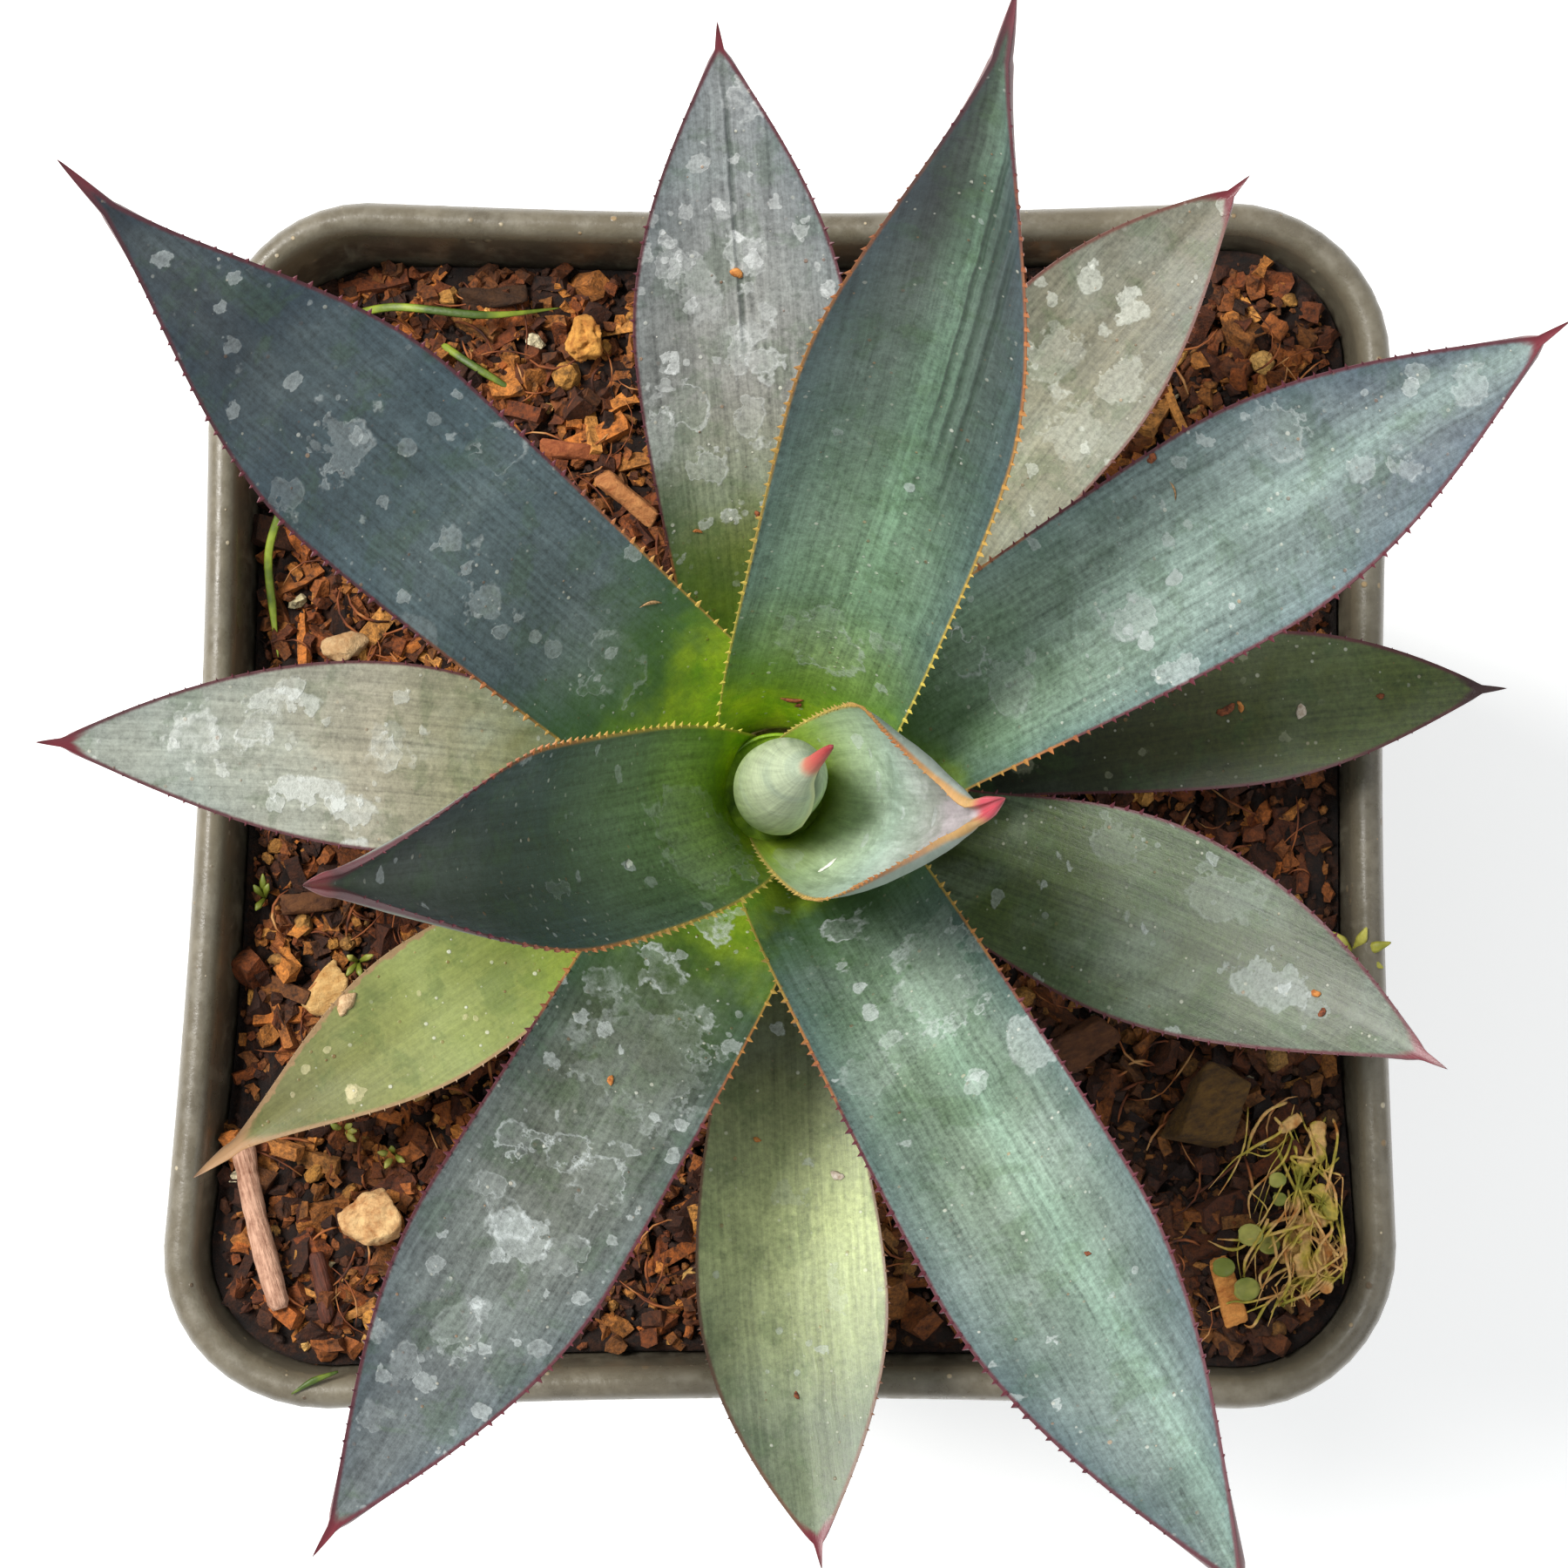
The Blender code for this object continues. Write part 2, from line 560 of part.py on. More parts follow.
def make_loose(piece, number, collection):
    """A chip or a stone: the hull of seeded points in its block, more of them if it is round."""
    rng = np.random.default_rng(100 + number)
    size = np.array([piece.length, piece.width, piece.height]) * MM / 2
    count = int(10 + 18 * piece.round_share)
    points = rng.normal(size=(count, 3))
    points /= np.linalg.norm(points, axis=1)[:, None]
    boxed = np.sign(points) * np.abs(points) ** (0.25 + 0.75 * piece.round_share)
    points = boxed / np.abs(boxed).max(axis=0) * size
    yaw = math.radians(piece.yaw)
    turned_x = points[:, 0] * math.cos(yaw) - points[:, 1] * math.sin(yaw) + piece.x * MM
    turned_y = points[:, 0] * math.sin(yaw) + points[:, 1] * math.cos(yaw) + piece.y * MM
    placed = np.stack([turned_x, turned_y, points[:, 2]], axis=1)
    placed[:, 2] += rest_height(placed)
    shape = bmesh.new()
    for point in placed:
        shape.verts.new(point)
    made = bmesh.ops.convex_hull(shape, input=shape.verts)
    inside = [v for v in made["geom_interior"] + made["geom_unused"] if isinstance(v, bmesh.types.BMVert)]
    bmesh.ops.delete(shape, geom=list(set(inside)), context="VERTS")
    bmesh.ops.recalc_face_normals(shape, faces=shape.faces)
    mesh = bpy.data.meshes.new(piece.name)
    shape.to_mesh(mesh)
    shape.free()
    obj = bpy.data.objects.new(piece.name, mesh)
    obj.data.materials.append(material(piece.name, piece.colour, 0.9))
    collection.objects.link(obj)
    return obj


def make_strand(strand, collection):
    """A twig or blade of grass: a beveled curve on a smooth line through its points."""
    curve = bpy.data.curves.new(strand.name, "CURVE")
    curve.dimensions = "3D"
    curve.bevel_depth = strand.radius * MM
    curve.bevel_resolution = 1
    curve.use_fill_caps = True
    spline = curve.splines.new("POLY")
    given = np.array(strand.points) * MM
    steps = 4
    line = []
    for k in range(len(given) - 1):
        before = given[max(k - 1, 0)]
        after = given[min(k + 2, len(given) - 1)]
        for step in range(steps if k < len(given) - 2 else steps + 1):
            t = step / steps
            a = 2 * given[k]
            b = given[k + 1] - before
            c = 2 * before - 5 * given[k] + 4 * given[k + 1] - after
            d = -before + 3 * given[k] - 3 * given[k + 1] + after
            line.append((a + b * t + c * t * t + d * t**3) / 2)
    spline.points.add(len(line) - 1)
    for point, (x, y, over) in zip(spline.points, line):
        point.co = (x, y, soil_height(x, y) + over + GAP, 1.0)
    obj = bpy.data.objects.new(strand.name, curve)
    obj.data.materials.append(material(strand.name, strand.colour, 0.7))
    collection.objects.link(obj)
    return obj


def main():
    """Builds the whole potted plant."""
    parts, cutters = clear_scene()
    make_pot(parts, cutters, material("pot_plastic", (0.105, 0.11, 0.095), 0.5))
    make_soil(parts, material("potting_mix", (0.055, 0.026, 0.014), 0.95))
    make_stem(parts, material("stem", (0.30, 0.34, 0.14), 0.7))
    make_spear(parts, material("spear", (0.24, 0.33, 0.22), 0.55))
    for index, leaf in enumerate(LEAVES):
        age = index / (len(LEAVES) - 1)
        colour = (0.085 + 0.05 * age, 0.155 + 0.06 * age, 0.15 - 0.03 * age)
        make_leaf(leaf, index, parts, material(leaf.name, colour, 0.55))
    for number, piece in enumerate(LOOSE):
        make_loose(piece, number, parts)
    for strand in STRANDS:
        make_strand(strand, parts)


main()
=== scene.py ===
"""A potted agave: a young rosette in a square nursery pot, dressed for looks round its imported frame.

Every piece takes its place from the frame. The leaves, the spear, the stem, the pot, the mix and
what lies on the mix replace the frame's plain solids with fine meshes and procedural finishes.
Lengths are in metres unless a name or a docstring says millimetres.
"""

import logging
import math
from dataclasses import dataclass
from enum import Enum
from functools import lru_cache
from typing import Any, Callable

import bmesh
import bpy
import numpy as np
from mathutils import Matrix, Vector


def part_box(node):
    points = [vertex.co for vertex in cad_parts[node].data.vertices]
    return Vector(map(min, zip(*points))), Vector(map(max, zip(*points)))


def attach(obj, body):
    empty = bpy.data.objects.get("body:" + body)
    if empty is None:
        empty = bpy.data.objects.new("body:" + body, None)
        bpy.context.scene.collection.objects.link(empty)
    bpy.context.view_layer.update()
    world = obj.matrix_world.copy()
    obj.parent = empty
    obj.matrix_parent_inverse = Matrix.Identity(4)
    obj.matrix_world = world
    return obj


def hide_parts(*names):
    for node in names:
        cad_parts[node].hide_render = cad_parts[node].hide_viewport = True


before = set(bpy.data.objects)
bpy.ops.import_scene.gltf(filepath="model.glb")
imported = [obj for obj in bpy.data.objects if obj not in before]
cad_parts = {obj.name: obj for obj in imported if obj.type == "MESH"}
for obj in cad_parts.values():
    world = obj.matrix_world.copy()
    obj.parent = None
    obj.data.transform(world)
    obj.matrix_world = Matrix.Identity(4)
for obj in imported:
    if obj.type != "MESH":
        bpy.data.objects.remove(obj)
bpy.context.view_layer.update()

logging.basicConfig(level=logging.INFO, format="%(message)s")
LOG = logging.getLogger("potted_agave")

MM = 0.001
ROOT = "root"
Colour = tuple[float, float, float]
Mesh = tuple[list, list]  # points and faces


# Small helpers


def tint(code: str) -> Colour:
    """Linear colour of a display colour written as six hexadecimal digits."""
    parts = [int(code[k : k + 2], 16) / 255 for k in (0, 2, 4)]
    return tuple(p / 12.92 if p <= 0.04045 else ((p + 0.055) / 1.055) ** 2.4 for p in parts)


def ease(share: Any) -> Any:
    """0 to 1, easing in and out, with share clipped to that range."""
    share = np.clip(share, 0.0, 1.0)
    return share * share * (3 - 2 * share)


@lru_cache(maxsize=None)
def solid_box(node: str) -> Any:
    """Lowest and highest corner of a node of the frame."""
    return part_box(node)


def new_mesh(name: str, vertices: Any, faces: list[tuple[int, ...]], smooth: bool = True) -> bpy.types.Object:
    """Makes a mesh object with outward faces and links it to the scene.

    Args:
        name: Name of the object.
        vertices: Its points, in metres.
        faces: Its faces, as indices of points.
        smooth: Whether it is shaded smooth.

    Returns:
        The new object, at the origin.
    """
    mesh = bpy.data.meshes.new(name)
    mesh.from_pydata([tuple(map(float, v)) for v in vertices], [], faces)
    work = bmesh.new()
    work.from_mesh(mesh)
    bmesh.ops.recalc_face_normals(work, faces=work.faces)
    work.to_mesh(mesh)
    work.free()
    if smooth:
        mesh.shade_smooth()
    return linked(name, mesh)


def linked(name: str, data: Any) -> bpy.types.Object:
    """A new object of the scene that holds this mesh, light or camera."""
    obj = bpy.data.objects.new(name, data)
    bpy.context.scene.collection.objects.link(obj)
    return obj


def evaluated_mesh(obj: bpy.types.Object) -> bpy.types.Mesh:
    """The plain mesh that an object's modifiers give."""
    graph = bpy.context.evaluated_depsgraph_get()
    return bpy.data.meshes.new_from_object(obj.evaluated_get(graph))


def point_vectors(obj: bpy.types.Object, name: str, values: Any) -> None:
    """Stores one vector for each point of a mesh, for its material or its node tree to read."""
    layer = obj.data.attributes.new(name, "FLOAT_VECTOR", "POINT")
    layer.data.foreach_set("vector", np.asarray(values, np.float32).reshape(-1))


def dress(obj: bpy.types.Object, material: bpy.types.Material, slot: str, *nodes: str) -> None:
    """Gives a piece its finish and its body, and says which nodes it stands for.

    Args:
        obj: The piece.
        material: Its finish.
        slot: The record's material slot that the finish belongs to. Not used.
        nodes: The frame's nodes that it replaces.
    """
    obj.data.materials.clear()
    obj.data.materials.append(material)
    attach(obj, ROOT)
    if nodes:
        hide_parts(*nodes)
    LOG.info("%s: %d faces %s", obj.name, len(obj.data.polygons), " ".join(nodes))


def lofted(rings: Any, tip: Any = None, crescent: bool = False) -> Mesh:
    """Closed skin through rings of equal count.

    Args:
        rings: Rings of points, first to last.
        tip: A point that the last ring closes to, in place of a cap.
        crescent: Whether the first cap is a strip from horn to horn of a bent section.

    Returns:
        The points and the faces.
    """
    count = len(rings[0])
    vertices = [v for ring in rings for v in ring]
    faces = []
    for k in range(len(rings) - 1):
        for j in range(count):
            nxt = (j + 1) % count
            faces.append((k * count + j, k * count + nxt, (k + 1) * count + nxt, (k + 1) * count + j))
    if crescent:
        far = count // 2
        faces += [(0, count - 1, 1), (far, far - 1, far + 1)]
        faces += [(j, count - j, count - j - 1, j + 1) for j in range(1, far - 1)]
    else:
        faces.append(tuple(reversed(range(count))))
    last = (len(rings) - 1) * count
    if tip is None:
        faces.append(tuple(last + j for j in range(count)))
    else:
        vertices.append(tip)
        faces += [(last + j, last + (j + 1) % count, len(vertices) - 1) for j in range(count)]
    return vertices, faces


def smooth_line(points: Any, per_span: int = 6) -> Any:
    """Points along a smooth line through the given ones (Catmull-Rom)."""
    given = np.asarray(points, float)
    line = []
    for k in range(len(given) - 1):
        before, after = given[max(k - 1, 0)], given[min(k + 2, len(given) - 1)]
        for step in range(per_span):
            t = step / per_span
            a = 2 * given[k]
            b = given[k + 1] - before
            c = 2 * before - 5 * given[k] + 4 * given[k + 1] - after
            d = -before + 3 * given[k] - 3 * given[k + 1] + after
            line.append((a + b * t + c * t * t + d * t**3) / 2)
    line.append(given[-1])
    return np.array(line)


def swept(line: Any, widths: Any, heights: Any, sides: int = 6) -> Mesh:
    """Closed tube or flat ribbon along a line, pointed or blunt by its sizes.

    Args:
        line: Points along its middle.
        widths: Half the width at each point.
        heights: Half the height at each point.
        sides: Points round the section.

    Returns:
        The points and the faces.
    """
    line = np.asarray(line, float)
    ahead = np.gradient(line, axis=0)
    ahead /= np.linalg.norm(ahead, axis=1)[:, None]
    rings = []
    for k, (point, way) in enumerate(zip(line, ahead)):
        across = np.cross(way, (0, 0, 1.0))
        if np.linalg.norm(across) < 1e-3:
            across = np.array([1.0, 0, 0])
        across /= np.linalg.norm(across)
        above = np.cross(across, way)
        angles = [2 * math.pi * j / sides for j in range(sides)]
        rings.append(
            [point + across * (widths[k] * math.cos(a)) + above * (heights[k] * math.sin(a)) for a in angles]
        )
    return lofted(rings)


def joined(parts: list[Mesh]) -> Mesh:
    """One set of points and faces from several."""
    vertices, faces = [], []
    for some_vertices, some_faces in parts:
        start = len(vertices)
        vertices += list(some_vertices)
        faces += [tuple(start + i for i in face) for face in some_faces]
    return vertices, faces


# Node trees


def operator(operation: str, reflected: bool = False) -> Callable[["Term", Any], "Term"]:
    """A method that adds one Math node for one of Python's operators.

    Args:
        operation: The node's operation.
        reflected: Whether the other value comes first.

    Returns:
        The method.
    """

    def method(term: "Term", other: Any) -> "Term":
        """Adds the node."""
        return term.math(operation, other, term) if reflected else term.math(operation, term, other)

    return method


class Term:
    """A number that runs through a node tree, on which Python's arithmetic adds Math nodes."""

    def __init__(self, net: "Net", socket: bpy.types.NodeSocket) -> None:
        """Wraps an output socket of a tree."""
        self.net = net
        self.socket = socket

    def math(self, operation: str, *values: Any) -> "Term":
        """Adds one Math node."""
        node = self.net.add("ShaderNodeMath", {"operation": operation}, dict(enumerate(values)))
        return Term(self.net, node.outputs[0])

    __add__ = __radd__ = operator("ADD")
    __mul__ = __rmul__ = operator("MULTIPLY")
    __sub__, __rsub__ = operator("SUBTRACT"), operator("SUBTRACT", True)
    __truediv__, __rtruediv__ = operator("DIVIDE"), operator("DIVIDE", True)
    __pow__ = operator("POWER")
    least = operator("MINIMUM")
    most = operator("MAXIMUM")

    def size(self) -> "Term":
        """Absolute value."""
        return self.math("ABSOLUTE", self)

    def step(self, low: Any, high: Any) -> "Term":
        """0 at low and 1 at high, easing between them. With low above high it falls."""
        span = self.net.add(
            "ShaderNodeMapRange",
            {"interpolation_type": "SMOOTHSTEP"},
            {"Value": self, "From Min": low, "From Max": high},
        )
        return Term(self.net, span.outputs[0])


class Net:
    """A node tree under construction."""

    def __init__(self, tree: bpy.types.NodeTree) -> None:
        """Takes a shader tree or a geometry tree."""
        self.tree = tree

    def put(self, socket: bpy.types.NodeSocket, value: Any) -> None:
        """Links a term or a socket to an input, or sets its value. A colour may be a display colour's code."""
        value = tint(value) if isinstance(value, str) and socket.type == "RGBA" else value
        value = value.socket if isinstance(value, Term) else value
        if isinstance(value, bpy.types.NodeSocket):
            self.tree.links.new(value, socket)
        else:
            socket.default_value = (*value, 1.0) if socket.type == "RGBA" and len(value) == 3 else value

    def add(self, kind: str, settings: dict[str, Any] | None = None, inputs: dict[Any, Any] | None = None) -> Any:
        """Adds one node.

        Args:
            kind: The node's type.
            settings: Its properties, which are set first. A ramp takes "stops".
            inputs: Values or links of its input sockets, by name or number.

        Returns:
            The node.
        """
        node = self.tree.nodes.new(kind)
        for key, value in (settings or {}).items():
            if key == "stops":
                ramp = node.color_ramp
                while len(ramp.elements) < len(value):
                    ramp.elements.new(1.0)
                for element, (position, code) in zip(ramp.elements, value):
                    element.position = position
                    element.color = (*tint(code), 1.0)
            else:
                setattr(node, key, value)
        for key, value in (inputs or {}).items():
            self.put(node.inputs[key], value)
        return node

    def out(self, kind: str, inputs: dict[Any, Any] | None = None, **settings: Any) -> bpy.types.NodeSocket:
        """Adds one node, with its settings by name, and returns its first output."""
        return self.add(kind, settings, inputs).outputs[0]

    def term(self, socket: bpy.types.NodeSocket) -> Term:
        """Wraps a socket for arithmetic."""
        return Term(self, socket)

    def parts(self, vector: bpy.types.NodeSocket) -> tuple[Term, Term, Term]:
        """The three numbers of a vector."""
        node = self.add("ShaderNodeSeparateXYZ", None, {0: vector})
        return tuple(Term(self, out) for out in node.outputs)

    def vector(self, x: Any, y: Any, z: Any) -> bpy.types.NodeSocket:
        """A vector of three numbers."""
        return self.out("ShaderNodeCombineXYZ", {0: x, 1: y, 2: z})

    def noise(self, where: Any, scale: float, detail: float = 2.0, rough: float = 0.5, warp: float = 0.0) -> Term:
        """Soft noise from 0 to 1 at a place."""
        sizes = {"Vector": where, "Scale": scale, "Detail": detail, "Roughness": rough, "Distortion": warp}
        return Term(self, self.add("ShaderNodeTexNoise", None, sizes).outputs["Fac"])

    def noises(self, where: Any, scale: float, detail: float = 2.0) -> tuple[Term, Term, Term]:
        """Three separate soft noises from 0 to 1 at a place."""
        node = self.add("ShaderNodeTexNoise", None, {"Vector": where, "Scale": scale, "Detail": detail})
        split = self.add("ShaderNodeSeparateColor", None, {0: node.outputs["Color"]})
        return tuple(Term(self, out) for out in split.outputs)

    def cells(self, where: Any, scale: float) -> tuple[Term, Term, Term]:
        """Distance to the nearest cell's middle, and two random numbers of that cell."""
        node = self.add("ShaderNodeTexVoronoi", None, {"Vector": where, "Scale": scale})
        split = self.add("ShaderNodeSeparateColor", None, {0: node.outputs["Color"]})
        return Term(self, node.outputs["Distance"]), Term(self, split.outputs[0]), Term(self, split.outputs[1])

    def ramp(self, share: Term, *stops: tuple[float, str]) -> bpy.types.NodeSocket:
        """A colour picked along a ramp of display colours."""
        return self.out("ShaderNodeValToRGB", {0: share}, stops=stops)

    def mix(self, share: Any, under: Any, over: Any, blend: str = "MIX") -> bpy.types.NodeSocket:
        """One colour over another."""
        settings = {"data_type": "RGBA", "blend_type": blend}
        return self.add("ShaderNodeMix", settings, {0: share, 6: under, 7: over}).outputs[2]

    def shade(self, colour: Any, amount: Term) -> bpy.types.NodeSocket:
        """A colour made lighter or darker by a number near 1."""
        return self.mix(1.0, colour, amount, "MULTIPLY")


class Paint(Net):
    """A material under construction, with its Principled shader."""

    def __init__(self, name: str) -> None:
        """Starts a material."""
        self.material = bpy.data.materials.new(name)
        self.material.use_nodes = True
        super().__init__(self.material.node_tree)
        self.shader = self.tree.nodes["Principled BSDF"]

    def attribute(self, name: str) -> bpy.types.NodeSocket:
        """A vector that each point of the piece holds."""
        return self.add("ShaderNodeAttribute", {"attribute_name": name}).outputs["Vector"]

    def place(self) -> bpy.types.NodeSocket:
        """The place on the piece, in millimetres."""
        where = self.add("ShaderNodeTexCoord").outputs["Object"]
        return self.out("ShaderNodeVectorMath", {0: where, "Scale": 1 / MM}, operation="SCALE")

    def finish(
        self, colour: Any, roughness: Any, height: Term | None = None, depth: float = 0.1, **fixed: float
    ) -> bpy.types.Material:
        """Links the shader and returns the material.

        Args:
            colour: Base colour, fixed or linked.
            roughness: Roughness, fixed or linked.
            height: Relief from 0 to 1.
            depth: What a relief of 1 is, in millimetres.
            fixed: Values for other sockets, with _ for a space.

        Returns:
            The finished material.
        """
        values = {"Base Color": colour, "Roughness": roughness}
        values.update({key.replace("_", " "): value for key, value in fixed.items()})
        for key, value in values.items():
            self.put(self.shader.inputs[key], value)
        if height is not None:
            bump = self.out("ShaderNodeBump", {"Strength": 1.0, "Distance": depth * MM, "Height": height})
            self.put(self.shader.inputs["Normal"], bump)
        return self.material


class Build(Net):
    """A geometry tree under construction, and its use on one object."""

    def __init__(self, name: str, **sizes: float) -> None:
        """Starts a tree whose named inputs are the given sizes."""
        super().__init__(bpy.data.node_groups.new(name, "GeometryNodeTree"))
        self.tree.is_modifier = True
        face = self.tree.interface
        face.new_socket("Geometry", in_out="INPUT", socket_type="NodeSocketGeometry")
        self.sockets = {key: face.new_socket(key, in_out="INPUT", socket_type="NodeSocketFloat") for key in sizes}
        self.sizes = sizes
        face.new_socket("Geometry", in_out="OUTPUT", socket_type="NodeSocketGeometry")
        self.source = self.add("NodeGroupInput")

    def size(self, name: str) -> Term:
        """One of the tree's named inputs."""
        return Term(self, self.source.outputs[name])

    def draw(self, low: Any, high: Any, seed: int) -> bpy.types.NodeSocket:
        """A random number or vector for each point, of the kind that its bounds are."""
        if isinstance(low, tuple):
            return self.out("FunctionNodeRandomValue", {0: low, 1: high, "Seed": seed}, data_type="FLOAT_VECTOR")
        return self.add("FunctionNodeRandomValue", {"data_type": "FLOAT"}, {2: low, 3: high, "Seed": seed}).outputs[1]

    def copies(self, points: Any, shape: Any, turn: Any, scale: Any, name: str, value: Any) -> bpy.types.NodeSocket:
        """Puts a copy of a shape on each point, and stores a number with each.

        Args:
            points: The points.
            shape: The shape.
            turn: How each copy is turned.
            scale: The size of each copy.
            name: Name of the number.
            value: The number.

        Returns:
            The copies.
        """
        inputs = {"Points": points, "Instance": shape, "Rotation": turn, "Scale": scale}
        placed = self.out("GeometryNodeInstanceOnPoints", inputs)
        kept = {0: placed, "Name": name, "Value": value}
        return self.out("GeometryNodeStoreNamedAttribute", kept, data_type="FLOAT", domain="INSTANCE")

    def close(self, geometry: bpy.types.NodeSocket, material: bpy.types.Material) -> None:
        """Ends the tree with realised instances and a material."""
        real = self.out("GeometryNodeRealizeInstances", {0: geometry})
        self.add("NodeGroupOutput", None, {0: self.out("GeometryNodeSetMaterial", {0: real, "Material": material})})

    def apply(self, base: bpy.types.Object, name: str) -> bpy.types.Object:
        """Runs the tree on an object and returns the result as a plain mesh object.

        Args:
            base: The object that the tree starts from. It is removed.
            name: Name of the new object.

        Returns:
            The new object.
        """
        modifier = base.modifiers.new(self.tree.name, "NODES")
        modifier.node_group = self.tree
        for key, value in self.sizes.items():
            modifier[self.sockets[key].identifier] = float(value)
        mesh = evaluated_mesh(base)
        bpy.data.objects.remove(base, do_unlink=True)
        return linked(name, mesh)


# The rosette


@dataclass(frozen=True)
class StemAxis:
    """Where the stem stands and where each leaf sits on it."""

    seats: int = 14
    drop: float = 1.25 * MM  # each seat lies this much under the one before
    crown: float = 0.4 * MM  # of stem above the top seat
    top_radius: float = 4.1 * MM
    low_radius: float = 9.0 * MM

    def centre(self) -> Any:
        """The stem's axis, as x and y."""
        low, high = solid_box("stem")
        return (np.array(low[:2]) + np.array(high[:2])) / 2

    def top(self) -> float:
        """Height of the youngest leaf's seat."""
        return solid_box("stem")[1][2] - self.crown

    def seat(self, index: int) -> tuple[float, float]:
        """Radius and height of a leaf's seat, counting the youngest as 0."""
        share = index / (self.seats - 1)
        radius = self.top_radius + (self.low_radius - self.top_radius) * (1 - (1 - share) ** 1.7)
        return radius, self.top() - self.drop * index


AXIS = StemAxis()


@dataclass(frozen=True)
class LeafFinish:
    """How one leaf is coloured and marked. Lengths are in millimetres."""

    tones: list[str]  # display colours from seat to tip, at the stations below
    back: str = "93a390"
    glow: float = 6.0  # how far from the seat the green flush reaches
    glow_strength: float = 0.7
    rib: float = 0.0  # strength of the pale green band along the midrib
    rib_tone: str = "7ea585"
    rib_at: float = 0.0  # how far the band lies to the left of the midrib
    drawn: float = 1.0  # how fast the mottle changes along the leaf, against across it
    texture: float = 1.0  # strength of streaks, veins and grain
    creases: tuple[tuple[float, float, float, float], ...] = ()  # place across, half width, first and last share
    blue_sides: float = 0.35  # how far the colour turns to slate blue towards the margins
    dry: float = 0.0  # width of a dried strip along one margin
    bloom: float = 0.25  # how much pale wax lies on it in clouds
    films: float = 0.2  # share of the places that hold a dried water film
    spots: float = 0.3  # share of the places that hold a dried drop
    grit: float = 0.6  # strength of the fine specks
    mark: str = "c4cbca"  # colour of films and drops
    edge_young: str = "b9b04a"  # margin near the seat
    edge_old: str = "5a2630"  # margin near the tip
    edge_turn: float = 0.45  # share of the length where the margin has turned
    edge_width: float = 0.32
    spine: str = "6b2630"
    spine_length: float = 4.5
    red_margin: float = 3.0  # how much further the spine's colour runs along the margins than down the middle
    gloss: float = 0.43
    placed: tuple[tuple[float, float, float, float, float, float], ...] = ()  # marks of set place and size
    stations: tuple[float, ...] = (0.06, 0.25, 0.5, 0.8)

    def marks(self, net: Paint, where: tuple[Term, Term], seed: float, size: float, share: float, reach: float) -> Any:
        """Dried marks of one size.

        Args:
            net: The material.
            where: Place across and along the leaf, in millimetres.
            seed: Sets their places.
            size: Distance between places where one may be.
            share: Share of those places that hold one.
            reach: Largest radius, as a share of that distance.

        Returns:
            The inside and the outline of the marks.
        """
        spot = net.vector(where[0], where[1], seed)
        distance, one, two = net.cells(spot, 1 / size)
        present = one.step(1 - share, 1 - share + 0.002)
        radius = (two * 0.65 + 0.35) * reach
        inside = distance.step(radius, radius - 0.05) * present
        outline = (distance - (radius - 0.035)).size().step(0.05, 0.012) * present
        return inside, outline

    def build(self, name: str, length: float, seed: float) -> bpy.types.Material:
        """Makes the material.

        Args:
            name: Its name.
            length: The leaf's length in millimetres.
            seed: Sets this leaf's marks apart from the others'.

        Returns:
            The material.
        """
        net = Paint(name)
        u, along, side = net.parts(net.attribute("blade"))
        x, y, edge = net.parts(net.attribute("metric"))
        flat = net.vector(x, y * self.drawn, seed * 7.3 + side * 40)
        wobble, sway, drift = net.noises(flat, 0.35, 3.0)
        wobble, sway, drift = wobble - 0.5, sway - 0.5, drift - 0.5
        ragged, jagged, _ = net.noises(flat, 1.15, 3.0)
        ragged, jagged = ragged - 0.5, jagged - 0.5
        streak = net.noise(net.vector(x * 2.6 + wobble, y * 0.06, seed + side * 9), 1.0, 5.0, 0.68)
        vein = net.noise(net.vector(x * 0.9 + wobble * 0.6, y * 0.02, seed + 5), 1.0, 2.0)
        grain = net.noise(flat, 2.2, 5.0, 0.75)
        cloud = net.noise(flat, 0.10, 4.0, 0.58, 0.3)
        patch = net.noise(flat, 0.28, 5.0, 0.65, 0.4)
        colour = net.ramp(along, *zip(self.stations, self.tones))
        band = (1 - ((x - self.rib_at + wobble * 1.5) / 3.2).size().least(1.0)) ** 1.3 * along.step(0.14, 0.4)
        colour = net.mix(band * self.rib, colour, self.rib_tone)
        colour = net.mix(cloud.step(0.42, 0.74) * self.bloom, colour, "a9b8b2")
        colour = net.mix(cloud.step(0.52, 0.25) * 0.3, colour, "26362f")
        colour = net.mix(patch.step(0.50, 0.62) * 0.30, colour, "3a5528")
        colour = net.mix(u.size() ** 2.2 * self.blue_sides, colour, "3d5260")
        contrast = ((streak - 0.5) * 1.5 + (vein - 0.5) * 0.6 + (grain - 0.5) * 2.0) * self.texture + 1.0
        colour = net.shade(colour, contrast)
        crease = None
        for place, wide, first, last in self.creases:
            line = ((x - place + wobble * 0.3) / wide).size().step(1.0, 0.1)
            line = line * along.step(first, first + 0.1) * along.step(last, last - 0.12)
            crease = line if crease is None else crease.most(line)
        if crease is not None:
            # painted shade in the creases: the grooves are darkened here as well as sunk by the relief below
            colour = net.mix(crease * 0.5, colour, "1c3020")
        # green flush at the seat, yellow green where the light never reached
        reach = y + wobble * 7.0 + ragged * 2.0 + edge * 0.45
        flush = reach.step(self.glow * 1.6, self.glow * 0.7) * self.glow_strength
        colour = net.mix(flush * 0.6, colour, "4f7f1c")
        bright = reach.step(self.glow, self.glow * 0.4) * self.glow_strength
        tender = net.ramp(patch, (0.35, "82b40e"), (0.6, "bcd820"))
        colour = net.mix(bright, colour, net.shade(tender, grain + 0.5))
